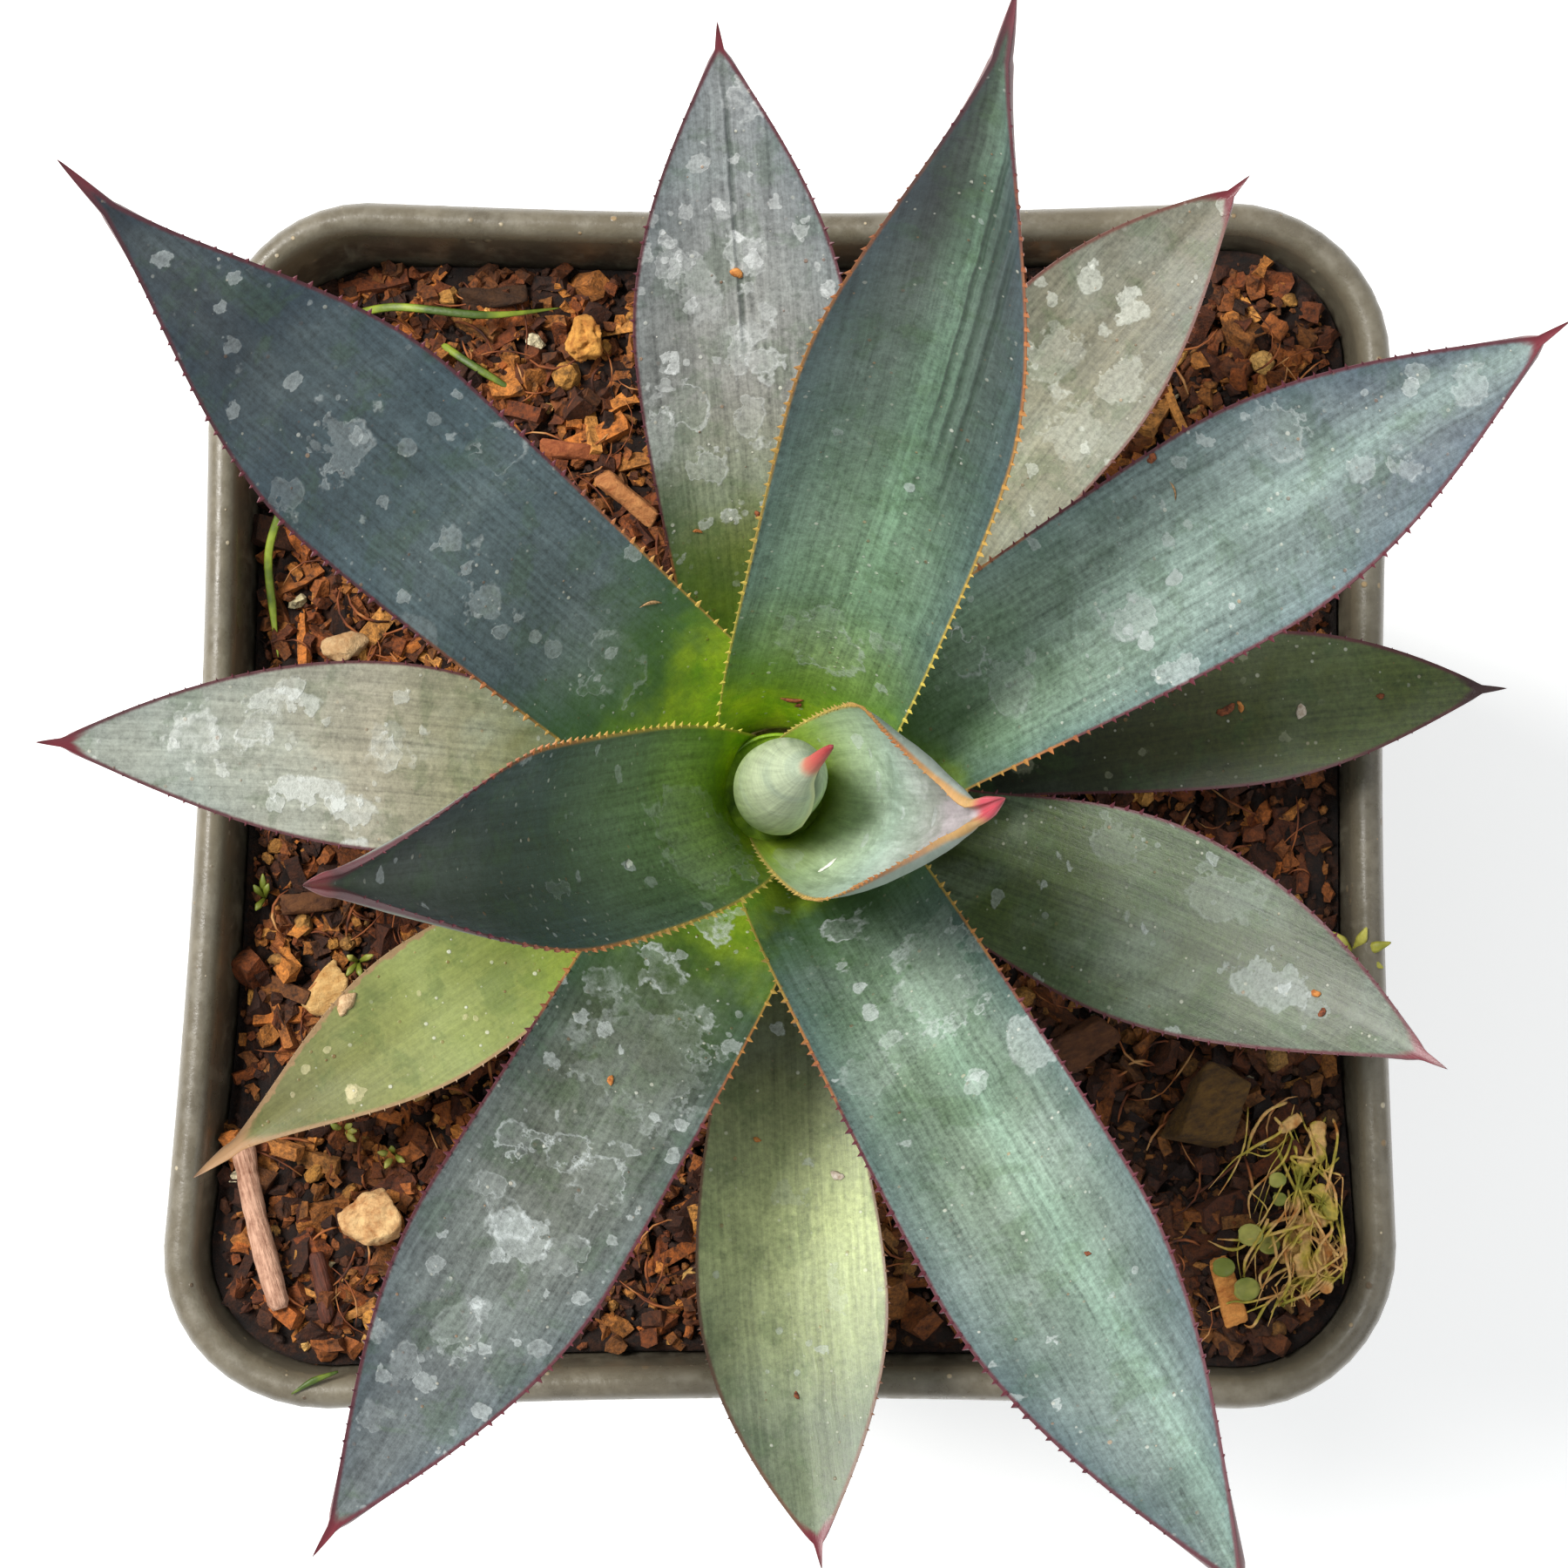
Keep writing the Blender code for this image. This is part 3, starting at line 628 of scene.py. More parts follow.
        # dried water: broad films, blots, drops and dots
        upper = 1 - side
        torn = (x + wobble * 5.0 + ragged * 2.4, y + sway * 6.0 + jagged * 2.4)
        film, film_ring = self.marks(net, torn, seed, 8.5, self.films, 0.42)
        blotted = (x + sway * 3.0 + jagged * 1.8, y + drift * 4.0 + ragged * 1.8)
        blot, blot_ring = self.marks(net, blotted, seed * 2.3, 4.4, self.films * 0.9, 0.40)
        dropped = (x + drift + ragged * 1.5, y + wobble + jagged * 1.5)
        drop, drop_ring = self.marks(net, dropped, seed * 3.1, 2.3, self.spots * 0.8, 0.36)
        dot, _ = self.marks(net, (x + jagged * 0.5, y + ragged * 0.5), seed * 4.7, 1.2, self.spots * 0.6, 0.30)
        strewn = (sway * 1.6 + drift * 1.2 + 0.5).step(0.3, 0.75) * 0.85 + 0.15
        broken = patch.step(0.34, 0.56)
        pale = (film * 0.22 + film_ring * 0.5 + blot * 0.34 + blot_ring * 0.22) * broken
        pale = (pale + drop * (cloud * 0.7 + 0.05) + drop_ring * 0.10 + dot * strewn * 0.4).least(0.9) * upper
        wide_place = net.vector(x + wobble * 2.4 + ragged * 1.8, y + sway * 2.4 + jagged * 1.8, 0.0)
        small_place = net.vector(x + ragged * 0.4, y + jagged * 0.4, 0.0)
        gaps = (sway * 1.4 + drift + 0.5).step(0.34, 0.56)
        for across, up, half_across, half_up, fill, line in self.placed:
            place = wide_place if max(half_across, half_up) > 1.2 else small_place
            shrunk = {0: place, 1: (1 / half_across, 1 / half_up, 0.0)}
            spread = net.out("ShaderNodeVectorMath", shrunk, operation="MULTIPLY")
            ends = {0: spread, 1: (across / half_across, up / half_up, 0.0)}
            away = net.add("ShaderNodeVectorMath", {"operation": "DISTANCE"}, ends).outputs["Value"]
            away = net.term(away) + wobble * 1.5 + ragged * 1.1 + jagged * 0.5
            outline = (away - 0.92).size().step(0.13, 0.02) * gaps
            pale = pale + (away.step(1.0, 0.82) * (fill * 0.8) + outline * (line * 0.8)) * upper
        pale = (pale * (grain * 2.0 - 0.2).least(1.0).most(0.0)).least(0.92)
        colour = net.mix(pale, colour, self.mark)
        distance, three, four = net.cells(net.vector(x, y, seed * 5.9), 1.5)
        radius = three**3 * 0.34
        speck = distance.step(radius, radius * 0.55) * self.grit * upper * strewn
        dusts = [(0.0, "dfe0d6"), (0.6, "d6d3c0"), (0.7, "b5824f"), (0.86, "7a5030")]
        colour = net.mix(speck * 0.8, colour, net.ramp(four, *dusts))
        # underside
        back = net.shade(self.back, (streak - 0.5) * 0.5 + (grain - 0.5) * 0.6 + 1.0)
        colour = net.mix(side * 0.85, colour, back)
        # horny margin and spine
        turn = along + wobble * 0.3
        warm = "a5683a" if self.glow >= 8 else self.edge_old
        rim_stops = [(0.0, self.edge_young), (self.edge_turn * 0.75, warm), (self.edge_turn, self.edge_old)]
        wide = along * (self.edge_width * 0.9) + self.edge_width * 0.7
        rim = (edge + (grain - 0.5) * 0.12).step(wide, wide * 0.35)
        if self.dry > 0:
            strip = (edge + ragged * 1.2).step(self.dry, self.dry * 0.7) * u.step(-0.2, -0.4) * along.step(0.3, 0.42)
            rim = rim.most(strip)
        colour = net.mix(rim * 0.92, colour, net.shade(net.ramp(turn, *rim_stops), grain * 0.8 + 0.6))
        to_tip = length - y
        spine = to_tip + (edge - 0.55).most(0.0) * self.red_margin + wobble * 1.2
        spine = spine.step(self.spine_length, self.spine_length * 0.6)
        ripe = net.mix(to_tip.step(1.6, 0.2) * 0.5, self.spine, "3a1418")
        colour = net.mix(spine, colour, net.shade(ripe, streak * 0.8 + 0.6))
        roughness = (cloud - 0.5) * 0.16 + pale * 0.35 + (grain - 0.5) * 0.2 + self.gloss - spine * 0.1
        relief = streak * 0.35 + grain * 0.4 * self.texture + pale * 0.5 + speck * 0.6
        relief = relief if crease is None else relief - crease * 1.5
        return net.finish(colour, roughness, relief, 0.09, Specular_IOR_Level=0.5)


# Display colours of each leaf's upper side, from seat to tip. Besides each leaf's own colour they hold painted shade:
# parts that lie in shade, such as the seats of the lower leaves under the others and leaf_13 under leaf_06, are given
# darker tones.
TONES = {
    "leaf_01": "b4c262 b0c49a adc1b2 afa5a9",
    "leaf_02": "96bb28 6a855b 2d3f3c 1e1c1c",
    "leaf_03": "85a123 7b9879 56685a 353434",
    "leaf_04": "2b3e2d 60765c 748473 5a6966",
    "leaf_05": "2a3f16 536063 4d5e63 212c37",
    "leaf_06": "3e552f 7b9579 8b9e95 5a626a",
    "leaf_07": "2a3218 363e20 686c64 5c6264",
    "leaf_08": "335017 6b7233 92908a 848788",
    "leaf_09": "1f2810 485720 515f3e 545a47",
    "leaf_10": "646a3f 737546 aca591 989c92",
    "leaf_11": "707153 625e3d 8b8873 6e6958",
    "leaf_12": "4d522f 565938 bbc588 656f55",
    "leaf_13": "121409 1f2304 3b3d17 515d24",
    "leaf_14": "657b2f 6b6b25 8e9555 6a693a",
}


# Dried marks of set place: millimetres to the left of the midrib and from the seat, half sizes, fill and outline.
MARKS = {
    "leaf_01": "5.5 14.3 0.69 1.42 0.6 0.1, -6.1 7.5 1.12 2.85 0.3 0.1",
    "leaf_02": (
        "1.4 10 4.46 6.04 0.2 0.35, 2.1 21.6 0.64 0.97 0.95 0.1, 3.7 19.9 0.48 1.09 0.5 0.2, "
        "2.4 32.5 0.65 1.69 0.1 0.2"
    ),
    "leaf_03": "0.8 14.3 3.55 3.62 0.12 0.45, 3.7 15.8 0.55 1.06 0.2 0.3, -1.7 34.2 0.42 0.45 0.6 0.2",
    "leaf_04": (
        "3.4 21.2 3.71 5.44 0.2 0.45, 6.8 32.7 1.8 2.8 0.4 0.3, -2 17.8 0.69 0.93 0.75 0.3, "
        "-2.3 20.9 0.69 0.93 0.75 0.3, -1.9 24.4 1.01 0.93 0.3 0.3, -4.4 26.5 2.28 1.87 0.1 0.25, "
        "1.8 32.4 0.81 0.93 0.4 0.3"
    ),
    "leaf_05": (
        "1 46 2.16 2.16 0.3 0.45, -6.5 36.1 1.99 2.45 0.04 0.6, 1.3 33.6 1.32 1.44 0.4 0.3, "
        "3.1 28.4 1.7 1.87 0.32 0.2, 4 25.5 0.8 0.87 0.3 0.5, 2.4 20.3 0.71 0.87 0.3 0.5, "
        "2.5 22.6 0.56 0.72 0.4 0.4, 1 58.1 0.72 0.72 0.4 0.2, -2 41.9 0.67 0.87 0.3 0.3, "
        "-0.2 45.1 0.42 0.43 0.3 0.2, 0.5 14.8 2.68 3.46 0.08 0.4, 6.5 47.1 1.5 1.44 0.2 0.2, "
        "7.7 31.5 1.02 1.87 0.22 0.1, -4.7 41.9 0.5 0.58 0.3 0.2"
    ),
    "leaf_06": (
        "4.5 48.9 2.47 2.43 0.22 0.42, -1.6 30.6 1.78 2.16 0.42 0.6, -6.9 32.5 1.41 1.89 0.5 0.35, "
        "-3.9 30.6 0.73 0.81 0.8 0.3, -0.8 35.1 0.58 0.81 0.75 0.3, -4.7 38.4 0.42 0.4 0.7 0.2, "
        "2.6 15.7 2.21 2.02 0.06 0.75, -1 52.7 1 1.48 0.3 0.3, -2.4 55.9 1.34 1.21 0.3 0.4, "
        "2.6 60.5 0.78 0.81 0.3 0.3, -0.1 63.2 1.31 1.48 0.3 0.25, -1.9 17.9 2 2.02 0.2 0.3"
    ),
    "leaf_07": (
        "1.1 20.6 5.61 5.52 0.14 0.25, -4.1 32.4 1.74 1.54 0.15 0.6, -0.3 39.1 2.37 2.05 0.42 0.35, "
        "3.1 31.9 2.59 2.44 0.1 0.55, -0.2 31.1 1.73 1.8 0.1 0.5, -4.2 44.7 0.76 0.77 0.4 0.3, "
        "0.6 45.5 0.82 0.9 0.4 0.3, -0.5 48.1 1.73 2.31 0.22 0.3, -2 52.2 1.37 1.8 0.2 0.3, "
        "5.6 46.3 0.94 0.9 0.3 0.3, 3.2 38.8 1.34 1.8 0.15 0.4, -2.1 57 1.16 1.41 0.2 0.3, "
        "-4.1 37 1.26 1.15 0.2 0.3"
    ),
    "leaf_08": (
        "2.3 46.8 0.95 0.75 0.5 0.3, 5.7 31.5 0.76 1.29 0.9 0.3, 3.3 36.3 2.02 3.12 0.3 0.3, "
        "4.6 27.2 1.67 2.15 0.12 0.55, 0.4 42.9 0.77 0.65 0.4 0.2, 6.9 25.3 1.23 2.58 0.3 0.4, "
        "0.2 31.7 1.01 1.72 0.3 0.3, -2 34.5 0.84 0.97 0.4 0.2, 3.3 22.3 1.51 1.51 0.3 0.4, "
        "5 39.5 1.04 1.4 0.3 0.3, -0.2 26.8 1.32 1.62 0.2 0.3, -3.1 24.4 0.98 1.4 0.3 0.2"
    ),
    "leaf_09": (
        "-0.6 37.2 1.95 3.56 0.55 0.2, 4 30.9 2.16 2.77 0.2 0.2, -0.4 41.4 1.13 1.29 0.25 0.25, "
        "4.9 21.4 1.69 1.98 0.15 0.2"
    ),
    "leaf_10": (
        "-3.9 33.8 1.03 2.99 0.7 0.2, 3.1 31.8 1.21 3.39 0.8 0.25, 4.5 28 1.27 1.8 0.6 0.2, "
        "-1.6 35.8 0.81 1.3 0.2 0.4, -1.4 25.2 1.52 2.1 0.25 0.1, -0.4 39.2 1.23 2.69 0.25 0.1"
    ),
    "leaf_11": (
        "-0.7 42.1 1.47 1.36 0.7 0.2, 3.3 41.2 1.12 1.15 0.6 0.2, 1.6 35.2 2.04 2.19 0.25 0.2, "
        "4.6 38.3 0.64 0.63 0.5 0.2, -4 37.1 1.8 1.99 0.3 0.2, -3.4 31 2.25 2.51 0.25 0.1"
    ),
    "leaf_12": "-3.2 33.7 0.47 1.13 0 0.1, -0.1 24.9 1.13 1.44 0.2 0.1, 3.5 32.9 0.77 2.05 0.2 0.1",
    "leaf_13": "-0.6 35.5 0.83 0.49 0.2 0",
    "leaf_14": (
        "1.8 34.4 0.5 0.55 0.8 0.1, -1.8 36.4 0.32 0.37 0.6 0.1, -2.1 34.1 0.32 0.37 0.6 0.1, "
        "-0.7 38.4 0.3 0.27 0.6 0.1, -1.8 25.3 0.3 0.27 0.5 0.1, 2.5 22.5 0.3 0.27 0.5 0.1"
    ),
}


def leaf_tone(name: str, **more: Any) -> LeafFinish:
    """A leaf's finish from its row of display colours, its marks and any other settings."""
    placed = tuple(tuple(map(float, mark.split())) for mark in MARKS[name].split(","))
    return LeafFinish(TONES[name].split(), placed=placed, **more)


@dataclass(frozen=True)
class Leaf:
    """One leaf, from its seat to its spine. Sizes in millimetres, angles in degrees."""

    name: str
    azimuth: float
    length: float
    width: float
    neck: float
    belly: float
    taper: float
    thick: float
    rise: tuple[float, float, float]
    channel: tuple[float, float]
    sway: float
    roll: float
    finish: LeafFinish
    slot: str = "leaf_young"
    tooth: float = 0.42  # length of a marginal tooth
    tooth_gap: float = 1.25  # from tooth to tooth
    spine_radius: float = 0.55
    hook: tuple[float, float] = (0.0, 0.0)  # change of rise and heading over the last tenth
    pad: float = 0.0  # how much its fleshy base swells inwards
    wrap: float = 17.0  # how far from its seat it still bends round the stem
    most_wrap: float = 106.0  # degrees from midrib to margin at the seat
    clasp: float = 0.92  # width of its clasping base, as a share of the widest
    clasp_share: float = 0.2
    close: float = 0.97  # share of the length where the blade has narrowed to its spine
    stations: int = 92
    across: int = 25

    def midrib(self, index: int, at: Any) -> tuple[Any, Any, Any]:
        """Points, directions and headings along the midrib, about the stem's axis."""
        fine = np.linspace(0.0, 1.0, 401)
        seat_rise, middle_rise, tip_rise = self.rise
        rise = (
            middle_rise
            + (seat_rise - middle_rise) * (1 - np.clip(fine / 0.35, 0, 1)) ** 2
            + (tip_rise - middle_rise) * np.clip((fine - 0.5) / 0.5, 0, 1) ** 2
        )
        bent = ease((fine - 0.88) / 0.08)
        rise = np.radians(rise + self.hook[0] * bent)
        heading = np.radians(self.azimuth + self.sway * fine**1.5 + self.hook[1] * bent)
        way = np.stack([np.cos(rise) * np.cos(heading), np.cos(rise) * np.sin(heading), np.sin(rise)], axis=1)
        step = (way[1:] + way[:-1]) / 2 * self.length * MM / (len(fine) - 1)
        path = np.vstack([np.zeros(3), np.cumsum(step, axis=0)])
        radius, height = AXIS.seat(index)
        first = math.radians(self.azimuth)
        path += np.array([radius * math.cos(first), radius * math.sin(first), height])
        points = np.stack([np.interp(at, fine, path[:, k]) for k in range(3)], axis=1)
        ways = np.stack([np.interp(at, fine, way[:, k]) for k in range(3)], axis=1)
        return points, ways / np.linalg.norm(ways, axis=1)[:, None], np.interp(at, fine, heading)

    def half_width(self, at: Any) -> Any:
        """Half the blade's width over its curve, in metres."""
        inner = self.neck + (1 - self.neck) * ease(at / self.belly)
        clasping = max(self.clasp - self.neck, 0) * np.clip(1 - at / self.clasp_share, 0, 1) ** 2
        outer = np.cos(np.clip((at - self.belly) / (self.close - self.belly), 0, 1) * math.pi / 2) ** self.taper
        blade = self.width * MM / 2 * np.where(at < self.belly, inner + clasping, outer)
        spine = self.spine_radius * MM * np.clip((1 - at) / 0.07, 0, 1) ** 0.8
        return np.maximum(blade, spine)

    def sides(self, index: int, at: Any, across: Any) -> tuple[Any, Any]:
        """Points on the upper and the lower side, about the stem's axis."""
        middle, way, heading = self.midrib(index, at)
        half = self.half_width(at)
        own = ease(at * self.length / self.wrap)
        turn_up = self.channel[0] + (self.channel[1] - self.channel[0]) * ease((at - 0.3) / 0.64)
        turn_up = turn_up * ease((1.04 - at) / 0.08)
        turn_up = np.maximum(np.radians(turn_up), 0.01)
        roll = np.radians(self.roll * at**1.5)
        lateral = np.stack([-np.sin(heading), np.cos(heading), np.zeros_like(heading)], axis=1)
        up = np.cross(way, lateral)
        beside = lateral * np.cos(roll)[:, None] + up * np.sin(roll)[:, None]
        inward = up * np.cos(roll)[:, None] - lateral * np.sin(roll)[:, None]
        radius = np.hypot(middle[:, 0], middle[:, 1])
        upper = np.zeros((len(at), len(across), 3))
        arc = half / turn_up
        for j, u in enumerate(across):
            channelled = middle + beside * (arc * np.sin(turn_up * u))[:, None]
            channelled = channelled + inward * (arc * (1 - np.cos(turn_up * u)))[:, None]
            angle = np.minimum(half / radius, math.radians(self.most_wrap)) * u
            x, y, z = middle.T
            turned = [x * np.cos(angle) - y * np.sin(angle), x * np.sin(angle) + y * np.cos(angle), z]
            wrapped = np.stack(turned, axis=1)
            upper[:, j] = wrapped * (1 - own)[:, None] + channelled * own[:, None]
        normal = np.cross(np.gradient(upper, axis=0), np.gradient(upper, axis=1))
        normal /= np.maximum(np.linalg.norm(normal, axis=2), 1e-12)[:, :, None]
        normal[-1] = normal[-2]
        wave = self.waviness(index, at, across, half)
        pad = self.pad * MM * (ease((15 - at * self.length) / 9) * ease((at * self.length + 2) / 4))[:, None]
        pad = pad * (1 - across[None, :] ** 4)
        upper = upper + normal * wave[:, :, None]
        thick = np.minimum(self.thick * MM * (1 - 0.5 * at), 1.7 * half)
        round_share = ease((at - 0.88) / 0.08)[:, None]
        lens = (1 - np.abs(across) ** 3)[None, :] * (1 - round_share)
        lens = lens + np.sqrt(np.maximum(1 - across**2, 0))[None, :] * round_share
        lower = upper - normal * (thick[:, None] * lens)[:, :, None]
        return upper + normal * pad[:, :, None], lower

    def waviness(self, index: int, at: Any, across: Any, half: Any) -> Any:
        """How far the surface stands from its smooth form: shallow swells and a faint fold on the midrib."""
        rng = np.random.default_rng(900 + index)
        x = across[None, :] * half[:, None] / MM
        y = (at * self.length)[:, None] + 0 * x
        swell = np.zeros_like(x)
        for _ in range(5):
            kx, ky, phase = rng.uniform(-0.35, 0.35), rng.uniform(0.15, 0.55), rng.uniform(0, 6.28)
            swell += np.sin(kx * x + ky * y + phase) / 5
        fold = -np.exp(-((x / 0.9) ** 2)) * 0.5
        fade = (ease(at / 0.12) * ease((1 - at) / 0.12))[:, None]
        return (swell * 0.16 + fold * 0.16) * MM * fade * (1 - across[None, :] ** 4)

    def build(self, index: int) -> None:
        """Makes the blade and its row of teeth."""
        at = (1 - np.cos(np.linspace(0, math.pi, self.stations + 1))) / 2
        at = 0.5 * at + 0.5 * np.linspace(0, 1, self.stations + 1)
        across = np.sin(np.linspace(-math.pi / 2, math.pi / 2, self.across))
        upper, lower = self.sides(index, at, across)
        offset = np.array([*AXIS.centre(), 0.0])
        upper, lower = upper + offset, lower + offset
        rings, blade, metric = [], [], []
        half = self.half_width(at)
        order = list(range(self.across))
        for k in range(self.stations):
            ring = list(upper[k]) + list(lower[k][-2:0:-1])
            rings.append(ring)
            for side, columns in ((0.0, order), (1.0, order[-2:0:-1])):
                for j in columns:
                    u = across[j]
                    blade.append((u, at[k], side))
                    metric.append((u * half[k] / MM, at[k] * self.length, (1 - abs(u)) * half[k] / MM))
        tip = upper[-1][self.across // 2]
        blade.append((0.0, 1.0, 0.0))
        metric.append((0.0, self.length, 0.0))
        obj = new_mesh(self.name + "_blade", *lofted(rings, tip, crescent=True))
        point_vectors(obj, "blade", blade)
        point_vectors(obj, "metric", metric)
        material = self.finish.build(self.name + "_skin", self.length, 11.0 + 3.7 * index)
        dress(obj, material, self.slot, self.name)
        self.build_teeth(index, at, upper, lower)

    def build_teeth(self, index: int, at: Any, upper: Any, lower: Any) -> None:
        """Makes the hooked teeth along both margins with a geometry tree."""
        first = int(np.searchsorted(at, 3.0 / self.length))
        last = int(np.searchsorted(at, 0.90))
        vertices, edges, outward, scale = [], [], [], []
        for column, inner in ((0, 1), (-1, -2)):
            for k in range(first, last):
                edge = upper[k, column]
                out = edge - (upper[k, inner] + lower[k, inner]) / 2
                along = upper[min(k + 1, last), column] - edge
                out = out / np.linalg.norm(out) + 0.45 * along / np.linalg.norm(along)
                vertices.append(edge)
                outward.append(out / np.linalg.norm(out))
                fade = ease((at[k] * self.length) / 8) * ease((0.92 - at[k]) / 0.25)
                scale.append(((0.45 + 0.55 * fade), at[k], 0))
                if k > first:
                    edges.append((len(vertices) - 2, len(vertices) - 1))
        mesh = bpy.data.meshes.new(self.name + "_margins")
        mesh.from_pydata([tuple(v) for v in vertices], edges, [])
        base = linked(mesh.name, mesh)
        point_vectors(base, "outward", outward)
        point_vectors(base, "growth", scale)
        tree = Build(self.name + "_tooth_row", Spacing=self.tooth_gap * MM, Tooth=self.tooth * MM, Seed=float(index))
        curve = tree.out("GeometryNodeMeshToCurve", {0: tree.source.outputs[0]})
        row = tree.out("GeometryNodeResampleCurve", {"Curve": curve, "Length": tree.size("Spacing")}, mode="LENGTH")
        cone = {"Vertices": 5, "Radius Top": 0.05, "Radius Bottom": 0.62, "Depth": 1.25}
        cone = tree.out("GeometryNodeMeshCone", cone, fill_type="NGON")
        sunk = tree.out("GeometryNodeTransform", {0: cone, "Translation": (0.0, 0.0, -0.25)})
        stored = "GeometryNodeInputNamedAttribute"
        out = tree.out(stored, {"Name": "outward"}, data_type="FLOAT_VECTOR")
        grown, share, _ = tree.parts(tree.out(stored, {"Name": "growth"}, data_type="FLOAT_VECTOR"))
        aim = tree.out("FunctionNodeAlignRotationToVector", {"Vector": out}, axis="Z")
        height = grown * tree.term(tree.draw(0.55, 1.25, 3 + index)) * tree.size("Tooth")
        size = tree.vector(height * 0.8, height * 0.8, height)
        material = tooth_finish(self)
        tree.close(tree.copies(row, sunk, aim, size, "share", share), material)
        dress(tree.apply(base, self.name + "_teeth"), material, self.slot)


def tooth_finish(leaf: Leaf) -> bpy.types.Material:
    """The horn of a leaf's teeth, turning from its young to its ripe colour along the leaf."""
    net = Paint(leaf.name + "_horn")
    share = net.term(net.add("ShaderNodeAttribute", {"attribute_name": "share"}).outputs["Fac"])
    finish = leaf.finish
    warm = "a5683a" if finish.glow > 0 else finish.edge_old
    stops = [(0.0, finish.edge_young), (finish.edge_turn * 0.75, warm), (finish.edge_turn, finish.edge_old)]
    colour = net.ramp(share, *stops)
    mottle = net.noise(net.place(), 1.5, 2.0)
    return net.finish(net.shade(colour, mottle + 0.6), 0.42)


YOUNG_EDGE = "c2bb52"

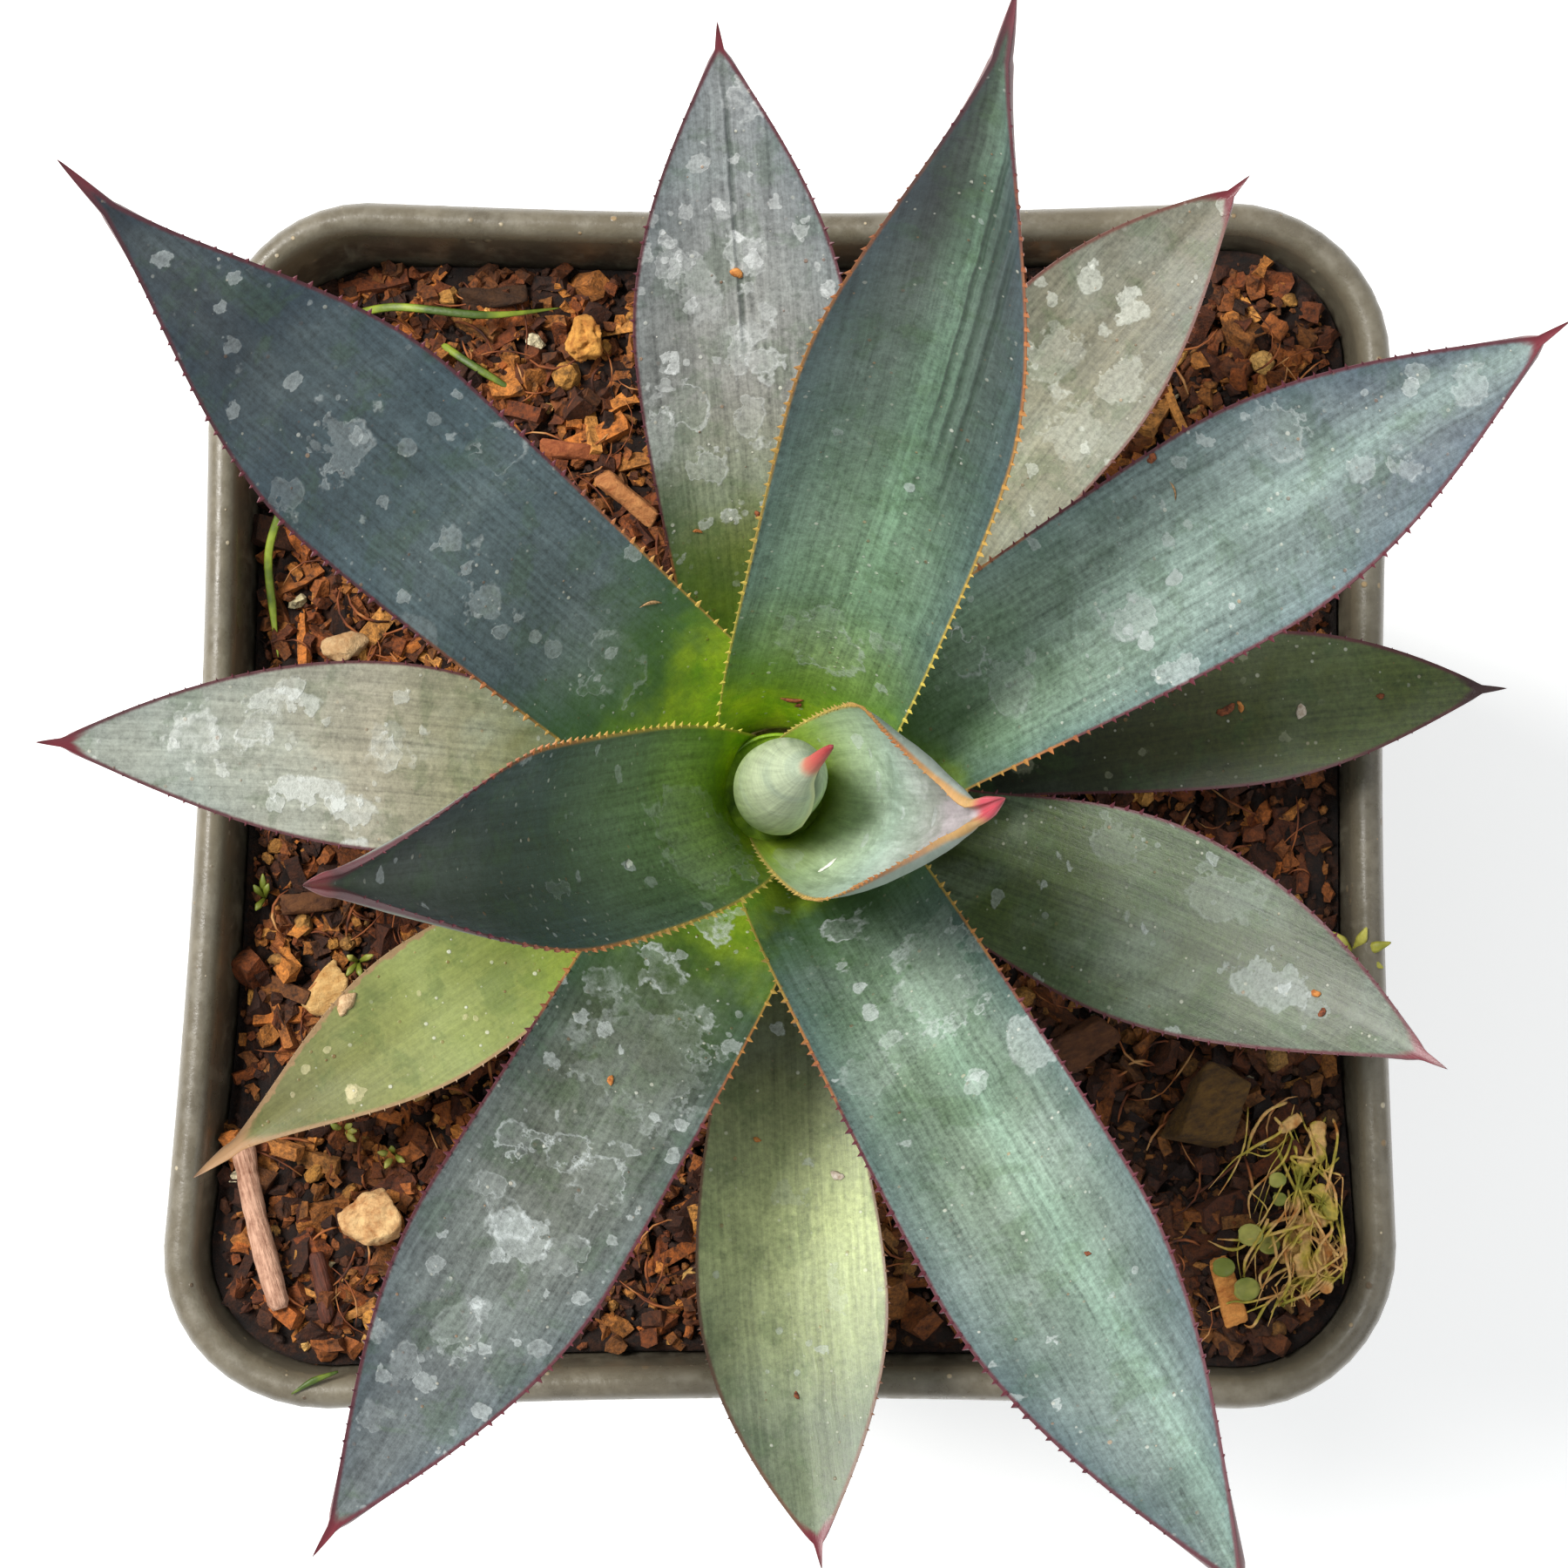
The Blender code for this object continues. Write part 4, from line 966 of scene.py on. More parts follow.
LEAVES = (
    Leaf("leaf_01", -16, 47.5, 17.0, 0.92, 0.44, 0.62, 1.5, (86, 76, 83), (50, 84), 14, 0,
         leaf_tone("leaf_01", glow=10, glow_strength=0.5, blue_sides=0.12, bloom=0.2, films=0.0, spots=0.12,
                   grit=0.25, drawn=0.3, texture=0.5, edge_young="c9b765", edge_old="b58c50", edge_turn=0.95,
                   edge_width=0.40, spine="b04450", spine_length=3.4, red_margin=0.0, back="8e9b90"),
         tooth=0.30, tooth_gap=0.85, spine_radius=0.72, hook=(-34, 30), pad=0.6, close=0.925),
    Leaf("leaf_02", 200, 64.5, 16.3, 0.94, 0.50, 1.30, 1.8, (80, 63, 70), (34, 66), -16, 0,
         leaf_tone("leaf_02", glow=8, glow_strength=0.85, rib=0.05, bloom=0.12, films=0.03, spots=0.12, drawn=0.7,
                   edge_turn=0.7, edge_young=YOUNG_EDGE, edge_width=0.42, spine="7d2c33", back="7f8c80"),
         spine_radius=0.65, pad=0.9),
    Leaf("leaf_03", 69, 80.5, 17.0, 0.87, 0.50, 1.45, 2.2, (70, 54, 58), (24, 34), 10, -8,
         leaf_tone("leaf_03", glow=11, glow_strength=0.9, rib=0.42, rib_at=-1.2, bloom=0.12, films=0.02, spots=0.1,
                   blue_sides=0.6, edge_turn=0.85,
                   creases=((-3.0, 0.45, 0.42, 0.86), (-4.1, 0.4, 0.38, 0.8), (-1.9, 0.3, 0.45, 0.9)),
                   edge_young=YOUNG_EDGE, spine="6b2a35")),
    Leaf("leaf_04", 299.5, 83, 16.6, 0.88, 0.58, 0.95, 2.4, (62, 46, 50), (16, 26), 0, 8,
         leaf_tone("leaf_04", glow=12, glow_strength=0.5, rib=0.42, rib_at=1.6, rib_tone="8fb09c", blue_sides=0.6,
                   films=0.05, spots=0.15, edge_young=YOUNG_EDGE, edge_turn=0.35)),
    Leaf("leaf_05", 141.5, 77, 16.8, 0.88, 0.56, 1.42, 2.5, (56, 41, 43), (12, 18), -5, 0,
         leaf_tone("leaf_05", glow=15.5, glow_strength=0.9, bloom=0.15, films=0.05, spots=0.22,
                   edge_young=YOUNG_EDGE, edge_turn=0.4)),
    Leaf("leaf_06", 28.5, 72, 16.7, 0.82, 0.58, 0.95, 2.5, (52, 37, 38), (12, 18), 3.5, 0,
         leaf_tone("leaf_06", glow=13, glow_strength=0.45, rib=0.42, rib_at=0.4, rib_tone="9bb3a8", blue_sides=0.6,
                   films=0.04, spots=0.25, edge_turn=0.35)),
    Leaf("leaf_07", 241, 68.5, 15.8, 0.94, 0.57, 1.00, 2.6, (48, 33, 34), (12, 16), -5, 0,
         leaf_tone("leaf_07", glow=15, glow_strength=0.4, bloom=0.2, films=0.22, spots=0.5, edge_turn=0.35)),
    Leaf("leaf_08", 94.5, 57.5, 16.9, 0.72, 0.56, 0.95, 2.6, (44, 30, 30), (10, 14), 0, 0,
         leaf_tone("leaf_08", glow=17, glow_strength=0.4, bloom=0.22, films=0.42, spots=0.95, grit=0.9,
                   spine_length=3.0, creases=((-0.2, 0.35, 0.5, 0.97),), mark="dadcdb", edge_turn=0.3),
         slot="leaf_old", tooth=0.3),
    Leaf("leaf_09", -18, 52.8, 16.2, 0.52, 0.48, 0.95, 2.6, (40, 26, 24), (10, 14), -14, 0,
         leaf_tone("leaf_09", blue_sides=0.1, films=0.06, spots=0.25, edge_young="7a5a3a", edge_turn=0.2),
         slot="leaf_old", tooth=0.34),
    Leaf("leaf_10", 174, 53.3, 15.2, 0.50, 0.47, 0.90, 2.6, (36, 22, 22), (10, 14), 7, 0,
         leaf_tone("leaf_10", blue_sides=0.1, bloom=0.3, films=0.2, spots=0.35, texture=0.75, edge_young="8a6a46",
                   edge_turn=0.2, mark="dcdfda"),
         slot="leaf_old", tooth=0.26),
    Leaf("leaf_11", 58, 55.8, 14.9, 0.48, 0.60, 0.90, 2.6, (32, 19, 20), (10, 14), -16, 0,
         leaf_tone("leaf_11", blue_sides=0.1, films=0.12, spots=0.45, texture=0.8, edge_young="8a7a4a",
                   edge_turn=0.3, edge_old="6b4038", mark="d3d6cc"),
         slot="leaf_old", tooth=0.26),
    Leaf("leaf_12", 270.5, 54.8, 15.4, 0.48, 0.60, 0.90, 2.6, (28, 16, 18), (8, 12), 8, 0,
         leaf_tone("leaf_12", blue_sides=0.1, bloom=0.12, films=0.02, spots=0.25, texture=0.75, edge_young="8a7044",
                   edge_turn=0.3, edge_old="6b4a3a"),
         slot="leaf_old", tooth=0.26),
    Leaf("leaf_13", 12, 52, 12.5, 0.48, 0.60, 0.90, 2.5, (24, 13, 12), (8, 12), -11, 0,
         leaf_tone("leaf_13", blue_sides=0.1, bloom=0.08, films=0.05, spots=0.2, edge_young="5a4030", edge_turn=0.2,
                   spine="3a1a1c", mark="9a9c80"),
         slot="leaf_old", tooth=0.24),
    Leaf("leaf_14", 211, 48.8, 12.1, 0.62, 0.50, 1.5, 2.3, (20, 11, 9), (8, 12), 6.5, 0,
         leaf_tone("leaf_14", glow=22, glow_strength=0.3, blue_sides=0.0, dry=0.45, bloom=0.06, films=0.0,
                   spots=0.12, grit=0.8, texture=0.45, edge_young="8a7048", edge_turn=0.1, edge_old="9a7a58",
                   edge_width=0.36, spine="a07c58", spine_length=7.5, mark="cfc49a"),
         slot="leaf_old", tooth=0.2),
)


class Speck(Enum):
    """What has fallen on the leaves, as its dark and its light colour."""

    BARK = ("4a1f10", "94502a")
    RUST = ("9a5420", "d08a44")
    STALK = ("7a5a38", "c09a6c")
    PETAL = ("b09a84", "ddd0c0")
    SCALE = ("a57f56", "d9b78e")
    CHAFF = ("cdd2c0", "f2f4ea")


@dataclass(frozen=True)
class Fleck:
    """A crumb that lies on a leaf. Sizes in millimetres."""

    leaf: int  # counting the youngest as 0
    at: float  # share of the leaf's length
    across: float  # -1 at the right margin, 1 at the left
    length: float
    width: float
    heading: float  # degrees to the left of the leaf's own direction
    kind: Speck

    def shape(self) -> Mesh:
        """Its points and faces: an uneven little slab resting on the leaf."""
        leaf = LEAVES[self.leaf]
        near = np.array([-1.0, 0.0, 1.0])
        upper, _ = leaf.sides(self.leaf, self.at + 0.01 * near, self.across + 0.03 * near)
        middle = upper[1, 1] + np.array([*AXIS.centre(), 0.0])
        along = upper[2, 1] - upper[0, 1]
        along /= np.linalg.norm(along)
        beside = upper[1, 2] - upper[1, 0]
        beside -= along * (beside @ along)
        beside /= np.linalg.norm(beside)
        out = np.cross(along, beside)
        turn = math.radians(self.heading)
        way = along * math.cos(turn) + beside * math.sin(turn)
        side = np.cross(out, way)
        rng = np.random.default_rng(int(self.at * 1000) + self.leaf)
        rings = []
        for share in np.linspace(-0.5, 0.5, 7):
            half = self.width / 2 * math.sqrt(1.02 - (2 * share) ** 2) * rng.uniform(0.7, 1.2) * MM
            bend = 0.12 * self.length * (2 * share) ** 2 * MM
            ring = []
            for j in range(7):
                angle = 2 * math.pi * j / 7
                point = middle + way * share * self.length * MM + side * (half * math.cos(angle) + bend)
                ring.append(point + out * (half * 0.5 * math.sin(angle) + 0.10 * MM))
            rings.append(ring)
        return lofted(rings)


FLECKS = (
    Fleck(2, 0.065, 0.20, 1.9, 0.55, -75, Speck.BARK),
    Fleck(2, 0.058, 0.12, 0.9, 0.4, -30, Speck.BARK),
    Fleck(4, 0.211, -0.68, 1.9, 0.3, 50, Speck.STALK),
    Fleck(5, 0.544, 0.93, 1.0, 0.7, 20, Speck.BARK),
    Fleck(5, 0.544, 0.58, 1.5, 0.2, 70, Speck.STALK),
    Fleck(7, 0.660, 0.0, 1.1, 0.7, 60, Speck.RUST),
    Fleck(8, 0.777, 0.06, 0.8, 0.6, 10, Speck.RUST),
    Fleck(8, 0.799, -0.18, 0.8, 0.5, 80, Speck.BARK),
    Fleck(12, 0.567, 0.02, 1.7, 0.8, 20, Speck.BARK),
    Fleck(12, 0.590, 0.05, 1.0, 0.5, 100, Speck.RUST),
    Fleck(12, 0.683, -0.12, 1.3, 0.8, 75, Speck.PETAL),
    Fleck(12, 0.806, -0.02, 0.7, 0.5, 0, Speck.BARK),
    Fleck(12, 0.488, 0.42, 0.6, 0.4, 40, Speck.BARK),
    Fleck(11, 0.432, 0.60, 1.2, 0.7, 60, Speck.PETAL),
    Fleck(11, 0.750, -0.06, 0.7, 0.4, 15, Speck.BARK),
    Fleck(11, 0.372, -0.34, 0.7, 0.4, 70, Speck.RUST),
    Fleck(13, 0.630, -0.86, 2.3, 1.3, 10, Speck.SCALE),
    Fleck(0, 0.286, -0.60, 1.9, 0.5, 60, Speck.CHAFF),
    Fleck(1, 0.335, 0.24, 1.1, 0.6, 15, Speck.CHAFF),
    Fleck(3, 0.619, 0.30, 0.6, 0.35, 40, Speck.BARK),
    Fleck(6, 0.346, -0.04, 0.9, 0.5, 20, Speck.RUST),
    Fleck(7, 0.293, 0.64, 0.8, 0.3, 70, Speck.RUST),
    Fleck(7, 0.308, -0.02, 0.7, 0.4, 10, Speck.BARK),
)


def build_flecks() -> None:
    """Makes what has fallen on the leaves, one piece of each kind."""
    for kind in Speck:
        name = f"fallen_{kind.name.lower()}"
        obj = new_mesh(name, *joined([fleck.shape() for fleck in FLECKS if fleck.kind is kind]))
        net = Paint(name + "_finish")
        where = net.place()
        mottle = net.noise(where, 2.2, 4.0, 0.7)
        dark, light = kind.value
        dress(obj, net.finish(net.ramp(mottle, (0.36, dark), (0.6, light)), 0.75, mottle, 0.15), "bark")


@dataclass(frozen=True)
class Spear:
    """The unopened leaves at the middle, rolled into one, with the outer leaf's edge lying over the roll."""

    radius: float = 3.65 * MM
    length: float = 31 * MM
    lean: float = 6.0  # degrees
    heading: float = 20.0  # degrees
    seam: float = 262.0  # degrees, where the outer edge starts
    seam_turn: float = 62.0  # degrees that it winds on its way up
    flap: float = 0.20  # how far it stands out, as a share of the radius
    rings: int = 90
    around: int = 72
    outline: tuple[tuple[float, float], ...] = (
        (0.0, 0.84), (0.12, 0.95), (0.3, 1.0), (0.46, 0.95), (0.60, 0.79),
        (0.72, 0.54), (0.80, 0.29), (0.86, 0.17), (0.92, 0.12), (0.975, 0.06),
    )

    def build(self) -> None:
        """Makes the rolled spear."""
        foot = solid_box("central_spear")[0][2]
        centre = AXIS.centre()
        heading = math.radians(self.heading)
        rings, blade, metric = [], [], []
        for k in range(self.rings):
            along = 0.975 * (k / (self.rings - 1)) ** 0.9
            wide = np.interp(along, *zip(*self.outline)) * self.radius
            shift = self.length * along * math.tan(math.radians(self.lean)) * along
            middle = np.array([*(centre + shift * np.array([math.cos(heading), math.sin(heading)])), foot])
            middle[2] += self.length * along
            middle[:2] += 1.5 * MM * ease((along - 0.78) / 0.22) * np.array([0.6, 0.8])
            seam = math.radians(self.seam + self.seam_turn * along)
            flap = self.flap * ease((0.80 - along) / 0.3)
            ring = []
            for j in range(self.around + 1):
                part = j / self.around
                radius = wide * (1 - flap * (1 - ease(part / 0.4)))
                angle = seam + 2 * math.pi * part * 0.9995
                ring.append(middle + np.array([radius * math.cos(angle), radius * math.sin(angle), 0]))
                blade.append((part, along, 0.0))
                girth = 2 * math.pi * wide / MM
                metric.append((part * girth, along * self.length / MM, (1 - part) * girth))
            rings.append(ring)
        shift = self.length * math.tan(math.radians(self.lean))
        tip = np.array([*(centre + shift * np.array([math.cos(heading), math.sin(heading)])), foot + self.length])
        tip[:2] += 1.55 * MM * np.array([0.6, 0.8])
        blade.append((0.5, 1.0, 0.0))
        metric.append((0.0, self.length / MM, 0.0))
        obj = new_mesh("spear_roll", *lofted(rings, tip))
        obj.data.set_sharp_from_angle(angle=math.radians(50))
        point_vectors(obj, "blade", blade)
        point_vectors(obj, "metric", metric)
        dress(obj, self.finish(), "spear", "central_spear")

    def finish(self) -> bpy.types.Material:
        """Waxy grey green, greener at the foot, with a pale seam, painted shade under the overlapping edge and along a
        second drawn edge, and a red point.
        """
        net = Paint("spear_skin")
        around, along, _ = net.parts(net.attribute("blade"))
        x, y, edge = net.parts(net.attribute("metric"))
        streak = net.noise(net.vector(around * 46, y * 0.12, 3.0), 1.0, 4.0, 0.6)
        grain = net.noise(net.vector(x, y, 8.0), 1.8, 4.0, 0.7)
        colour = net.ramp(along, (0.0, "a3b83a"), (0.3, "a3b67c"), (0.6, "b4c09c"), (0.9, "a9b49c"))
        cloud = net.noise(net.vector(x, y, 2.0), 0.22, 3.0)
        colour = net.mix(cloud.step(0.45, 0.75) * 0.4, colour, "8e9f92")
        colour = net.shade(colour, (streak - 0.5) * 1.0 + (grain - 0.5) * 0.7 + 1.0)
        # a second edge of the roll drawn in colour: a dark line of painted shade with a pale line beside it
        second = ((around - 0.40 - along * 0.04).size() * 24.0).step(0.45, 0.05) * along.step(0.75, 0.6)
        colour = net.mix(second * 0.3, colour, "4a5a3c")
        beside = ((around - 0.43 - along * 0.04).size() * 20.0).step(0.5, 0.1) * along.step(0.75, 0.6)
        colour = net.mix(beside * 0.3, colour, "d4d8c0")
        seam = edge.step(0.55, 0.12)
        colour = net.mix(seam * 0.7, colour, "d3d2a0")
        # painted shade on the inner turn just under the overlapping edge
        colour = net.mix(x.step(1.1, 0.0) * 0.7, colour, "3c4a2c")
        red = (along + (streak - 0.5) * 0.03).step(0.83, 0.87)
        ripening = [(0.84, "c98a70"), (0.9, "c25e56"), (0.97, "a83c40"), (1.0, "7a2228")]
        colour = net.mix(red, colour, net.ramp(along, *ripening))
        return net.finish(colour, 0.5, streak * 0.5 + grain * 0.4, 0.06, Specular_IOR_Level=0.4)


@dataclass(frozen=True)
class Collar:
    """The tender bases of the next leaves, closing the gap between the spear and the youngest open leaves."""

    inner: float = 2.7 * MM
    outer: float = 4.5 * MM  # where only the second leaf is behind it
    narrow: float = 4.15 * MM  # where the youngest leaf is behind it
    narrow_to: float = 84.0  # degrees to each side of that leaf's middle
    foot: float = 0.1 * MM  # over the top seat
    rise: float = 0.7 * MM
    around: int = 72
    rings: int = 14

    def build(self) -> None:
        """Makes the collar as a thin cup with a round lip."""
        centre, base = AXIS.centre(), AXIS.top() + self.foot
        vertices, faces = [], []
        for j in range(self.around):
            angle = 2 * math.pi * j / self.around
            beside = abs((math.degrees(angle) + 16 + 180) % 360 - 180)
            outer = self.narrow + (self.outer - self.narrow) * float(ease((beside - self.narrow_to) / 16))
            shares = [k / (self.rings - 1) for k in range(self.rings)]
            reach = outer - self.inner
            inside = [(self.inner + reach * math.sin(t * math.pi / 2), base + self.rise * t**1.6) for t in shares]
            outside = [(radius + 0.28 * MM, height - 0.45 * MM) for radius, height in reversed(inside)]
            outline = inside + [(outer + 0.2 * MM, base + self.rise - 0.05 * MM)] + outside
            for radius, height in outline:
                vertices.append((centre[0] + radius * math.cos(angle), centre[1] + radius * math.sin(angle), height))
        size = len(outline)
        for j in range(self.around):
            nxt = (j + 1) % self.around
            for k in range(size):
                up = (k + 1) % size
                faces.append((j * size + k, nxt * size + k, nxt * size + up, j * size + up))
        obj = new_mesh("spear_collar", vertices, faces)
        net = Paint("collar_skin")
        where = net.place()
        grain = net.noise(where, 1.4, 4.0, 0.7)
        soft = net.noise(where, 0.35, 3.0)
        colour = net.ramp(soft, (0.35, "4f7414"), (0.6, "86a824"))
        material = net.finish(net.shade(colour, grain + 0.5), 0.42, grain, 0.08, Specular_IOR_Level=0.45)
        dress(obj, material, "spear")


@dataclass(frozen=True)
class Stem:
    """The short stem under the leaves, ringed where old leaves have been."""

    around: int = 64
    rings: int = 120

    def build(self) -> None:
        """Makes the stem inside its solid's outline."""
        low, high = solid_box("stem")
        centre = AXIS.centre()
        radius_at = [(0.0, low[2]), (4.8 * MM, low[2] + 0.6 * MM)]
        lowest = AXIS.seat(AXIS.seats - 1)
        radius_at.append((lowest[0] - 0.9 * MM, lowest[1] - 12 * MM))
        radius_at.append((lowest[0] - 0.9 * MM, lowest[1]))
        for index in range(AXIS.seats - 2, -1, -1):
            radius, height = AXIS.seat(index)
            radius_at.append((radius - 0.9 * MM, height))
        radius_at.append((2.4 * MM, high[2] - 0.1 * MM))
        radii, heights = zip(*radius_at)
        levels = np.linspace(low[2] + 0.5 * MM, high[2] - 0.1 * MM, self.rings)
        rings = []
        for level in levels:
            radius = np.interp(level, heights, radii)
            scar = 0.16 * MM * math.sin(level / MM * 2 * math.pi / 1.6)
            ring = []
            for j in range(self.around):
                angle = 2 * math.pi * j / self.around
                rough = 0.12 * MM * math.sin(angle * 7 + level / MM * 0.9) + 0.08 * MM * math.sin(angle * 17)
                r = radius - abs(scar) - abs(rough)
                ring.append((centre[0] + r * math.cos(angle), centre[1] + r * math.sin(angle), level))
            rings.append(ring)
        obj = new_mesh("stem_body", *lofted(rings))
        net = Paint("stem_skin")
        where = net.place()
        x, y, z = net.parts(where)
        tone = net.noise(where, 0.5, 4.0)
        fibre = net.noise(net.vector(x * 1.5, y * 1.5, z * 0.4), 1.0, 3.0)
        colour = net.ramp(tone, (0.3, "6b5a3a"), (0.5, "94804f"), (0.7, "8f9a52"))
        colour = net.mix(z.step(86.0, 82.0), colour, "4a3622")
        colour = net.mix(z.step(99.0, 101.5), colour, "8fae2c")
        material = net.finish(net.shade(colour, fibre * 0.7 + 0.6), 0.75, fibre, 0.2)
        dress(obj, material, "stem", "stem")


# The pot


@dataclass(frozen=True)
class PotShape:
    """The square nursery pot's own sizes, the same as its solid's."""

    rim: float = 101 * MM
    base: float = 72 * MM
    wall: float = 1.0 * MM
    floor: float = 1.6 * MM
    ledge: float = 2.9 * MM
    skirt: float = 6.5 * MM
    rim_corner: float = 13.5 * MM
    base_corner: float = 9 * MM
    bow: float = 0.9 * MM
    push: float = 2.3 * MM
    lip: float = 1.4 * MM
    drain_radius: float = 4.0 * MM
    drain_inset: float = 13 * MM
    side_steps: int = 12
    corner_steps: int = 10

    def height(self) -> float:
        """The pot's height."""
        return solid_box("pot")[1][2]

    def ring(self, half: float, corner: float, bow: float, height: float) -> Any:
        """Points round a square with round corners and drawn-in sides, one of them pushed."""
        points = []
        flat = half - corner
        for turn in range(4):
            across = np.array([math.cos(turn * math.pi / 2), math.sin(turn * math.pi / 2)])
            along = np.array([-across[1], across[0]])
            for k in range(self.side_steps + 1):
                t = 2 * k / self.side_steps - 1
                points.append(across * (half - bow * math.cos(t * math.pi / 2)) + along * flat * t)
            middle = (across + along) * flat
            for k in range(1, self.corner_steps):
                angle = k / self.corner_steps * math.pi / 2
                points.append(middle + corner * (across * math.cos(angle) + along * math.sin(angle)))
        ring = np.array([(x, y, height) for x, y in points])
        edge = self.rim / 2
        ring[:, 0] -= self.push * (ring[:, 1] / edge) * (ring[:, 0] / edge) * (1 - ring[:, 0] / edge) / 2
        return ring

    def inside(self, height: Any, outset: float = 0.0) -> Any:
        """The pot's inside at a height, which may differ from point to point, moved out by outset."""
        top = self.height() - self.lip
        low = self.ring(self.base / 2 - self.wall + outset, self.base_corner - self.wall + outset, 0.0, self.floor)
        high = self.ring(self.rim / 2 - self.ledge + outset, self.rim_corner - self.ledge + outset, self.bow, top)
        share = (np.asarray(height, float) - self.floor) / (top - self.floor)
        return low + (high - low) * np.broadcast_to(share, len(low))[:, None]

    def rim_ring(self, inset: float, height: float) -> Any:
        """A ring of the rim, this far in from its outside."""
        return self.ring(self.rim / 2 - inset, self.rim_corner - inset, self.bow, height)


SHAPE = PotShape()


@dataclass(frozen=True)
class Pot:
    """The moulded shell with its rolled rim and drain holes."""

    shape: PotShape = SHAPE

    def build(self) -> None:
        """Makes the shell and dresses it."""
        shape = self.shape
        height = shape.height()
        under = height - 2.2 * MM
        down = height - shape.skirt
        skirt = 1.1 * MM
        rings = []
        for inset, level in ((0.8, 0.0), (0.45, 0.12), (0.12, 0.45), (0.0, 0.95)):
            half, corner = shape.base / 2 - inset * MM, shape.base_corner - inset * MM
            rings.append(shape.ring(half, corner, 0.0, level * MM))
        for share in np.linspace(0.0, 1.0, 9):
            rings.append(shape.inside(shape.floor + (down - 1.5 * MM - shape.floor) * share, shape.wall))
        rings += [shape.inside(under, shape.wall), shape.rim_ring(skirt, under)]
        rings.append(shape.rim_ring(skirt, down + 0.25 * MM))
        for inset, drop in ((0.9, 0.05), (0.6, 0.0), (0.3, 0.05), (0.08, 0.3), (0.0, 0.7)):
            rings.append(shape.rim_ring(inset * MM, down + drop * MM))
        for inset, drop in (
            (0.0, 2.2), (0.05, 1.5), (0.22, 0.95), (0.5, 0.5), (0.85, 0.2), (1.25, 0.04), (1.55, 0.0),
            (1.9, 0.06), (2.25, 0.26), (2.55, 0.6), (2.78, 1.05),
        ):
            rings.append(shape.rim_ring(inset * MM, height - drop * MM))
        for share in np.linspace(0.0, 1.0, 10):
            rings.append(shape.inside(height - shape.lip - (height - shape.lip - shape.floor) * share))
        obj = new_mesh("pot_shell", *lofted(rings))
        obj.data.set_sharp_from_angle(angle=math.radians(60))
        self.drain(obj)
        dress(obj, self.finish(), "pot_plastic", "pot")

    def drain(self, obj: bpy.types.Object) -> None:
        """Cuts the drain holes through the floor."""
        shape = self.shape
        at = shape.base / 2 - shape.drain_inset
        for k in range(4):
            x, y = at * (1 if k in (0, 3) else -1), at * (1 if k in (0, 1) else -1)
            bpy.ops.mesh.primitive_cylinder_add(
                vertices=40, radius=shape.drain_radius, depth=4 * shape.floor, location=(x, y, 0)
            )
            cutter = bpy.context.object
            cut = obj.modifiers.new(f"drain_{k + 1}", "BOOLEAN")
            cut.operation = "DIFFERENCE"
            cut.object = cutter
            mesh = evaluated_mesh(obj)
            obj.modifiers.clear()
            obj.data = mesh
            bpy.data.objects.remove(cutter, do_unlink=True)

    def finish(self) -> bpy.types.Material:
        """Dark olive-grey plastic with dust on its rim, soil film inside, dried splashes outside and painted shade on
        every face that does not face up.
        """
        net = Paint("pot_plastic")
        where = net.place()
        x, y, z = net.parts(where)
        top = self.shape.height() / MM
        cloud = net.noise(where, 0.09, 4.0, 0.6)
        grain = net.noise(where, 3.0, 4.0, 0.7)
        brushed = net.noise(net.vector(x * 0.6, y * 0.6, z * 0.08), 1.0, 3.0)
        colour = net.ramp(cloud, (0.3, "5c564a"), (0.55, "696151"), (0.75, "766e5d"))
        colour = net.shade(colour, (grain - 0.5) * 0.28 + (brushed - 0.5) * 0.2 + 1.0)
        facing = net.add("ShaderNodeNewGeometry").outputs["Normal"]
        to_right, to_back, upward = net.parts(facing)
        # painted shade: faces that turn away from above are darkened, so the sides read darker than the rim's top
        colour = net.mix(upward.step(0.55, -0.1) * 0.5, colour, "43433a")
        settled = upward.step(0.35, 0.95) * z.step(top - 6, top - 1)
        dust = settled * net.noise(where, 0.45, 5.0, 0.65).step(0.38, 0.72)
        colour = net.mix(dust * 0.3, colour, "9a9484")
        distance, one, two = net.cells(where, 0.75)
        radius = one**3 * 0.30
        speck = distance.step(radius, radius * 0.5) * (settled * 0.65 + 0.35)
        colour = net.mix(speck * 0.85, colour, net.ramp(two, (0.0, "c9bfa6"), (0.6, "a58a63"), (1.0, "3a2617")))
        wall = (to_right * x + to_back * y).step(-2.0, -12.0) * z.step(top - 30, top - 28)
        dirt = wall * z.step(top - 0.8, top - 4.5) * net.noise(where, 0.5, 4.0).step(0.3, 0.62)
        colour = net.mix(dirt * 0.7, colour, "2b2016")
        splash = net.noise(net.vector(x * 0.5, y * 0.5, z * 0.14), 1.0, 4.0, 0.6).step(0.56, 0.70)
        splash = splash * (1 - settled) * z.step(2.0, 18.0)
        colour = net.mix(splash * 0.25, colour, "8d8673")
        roughness = dust * 0.3 + 0.27 + speck * 0.3 + dirt * 0.3 + (cloud - 0.5) * 0.2 + splash * 0.2
        return net.finish(colour, roughness, grain * 0.3 + speck * 0.7 + dust * 0.3, 0.08)


# The potting mix and what lies on it


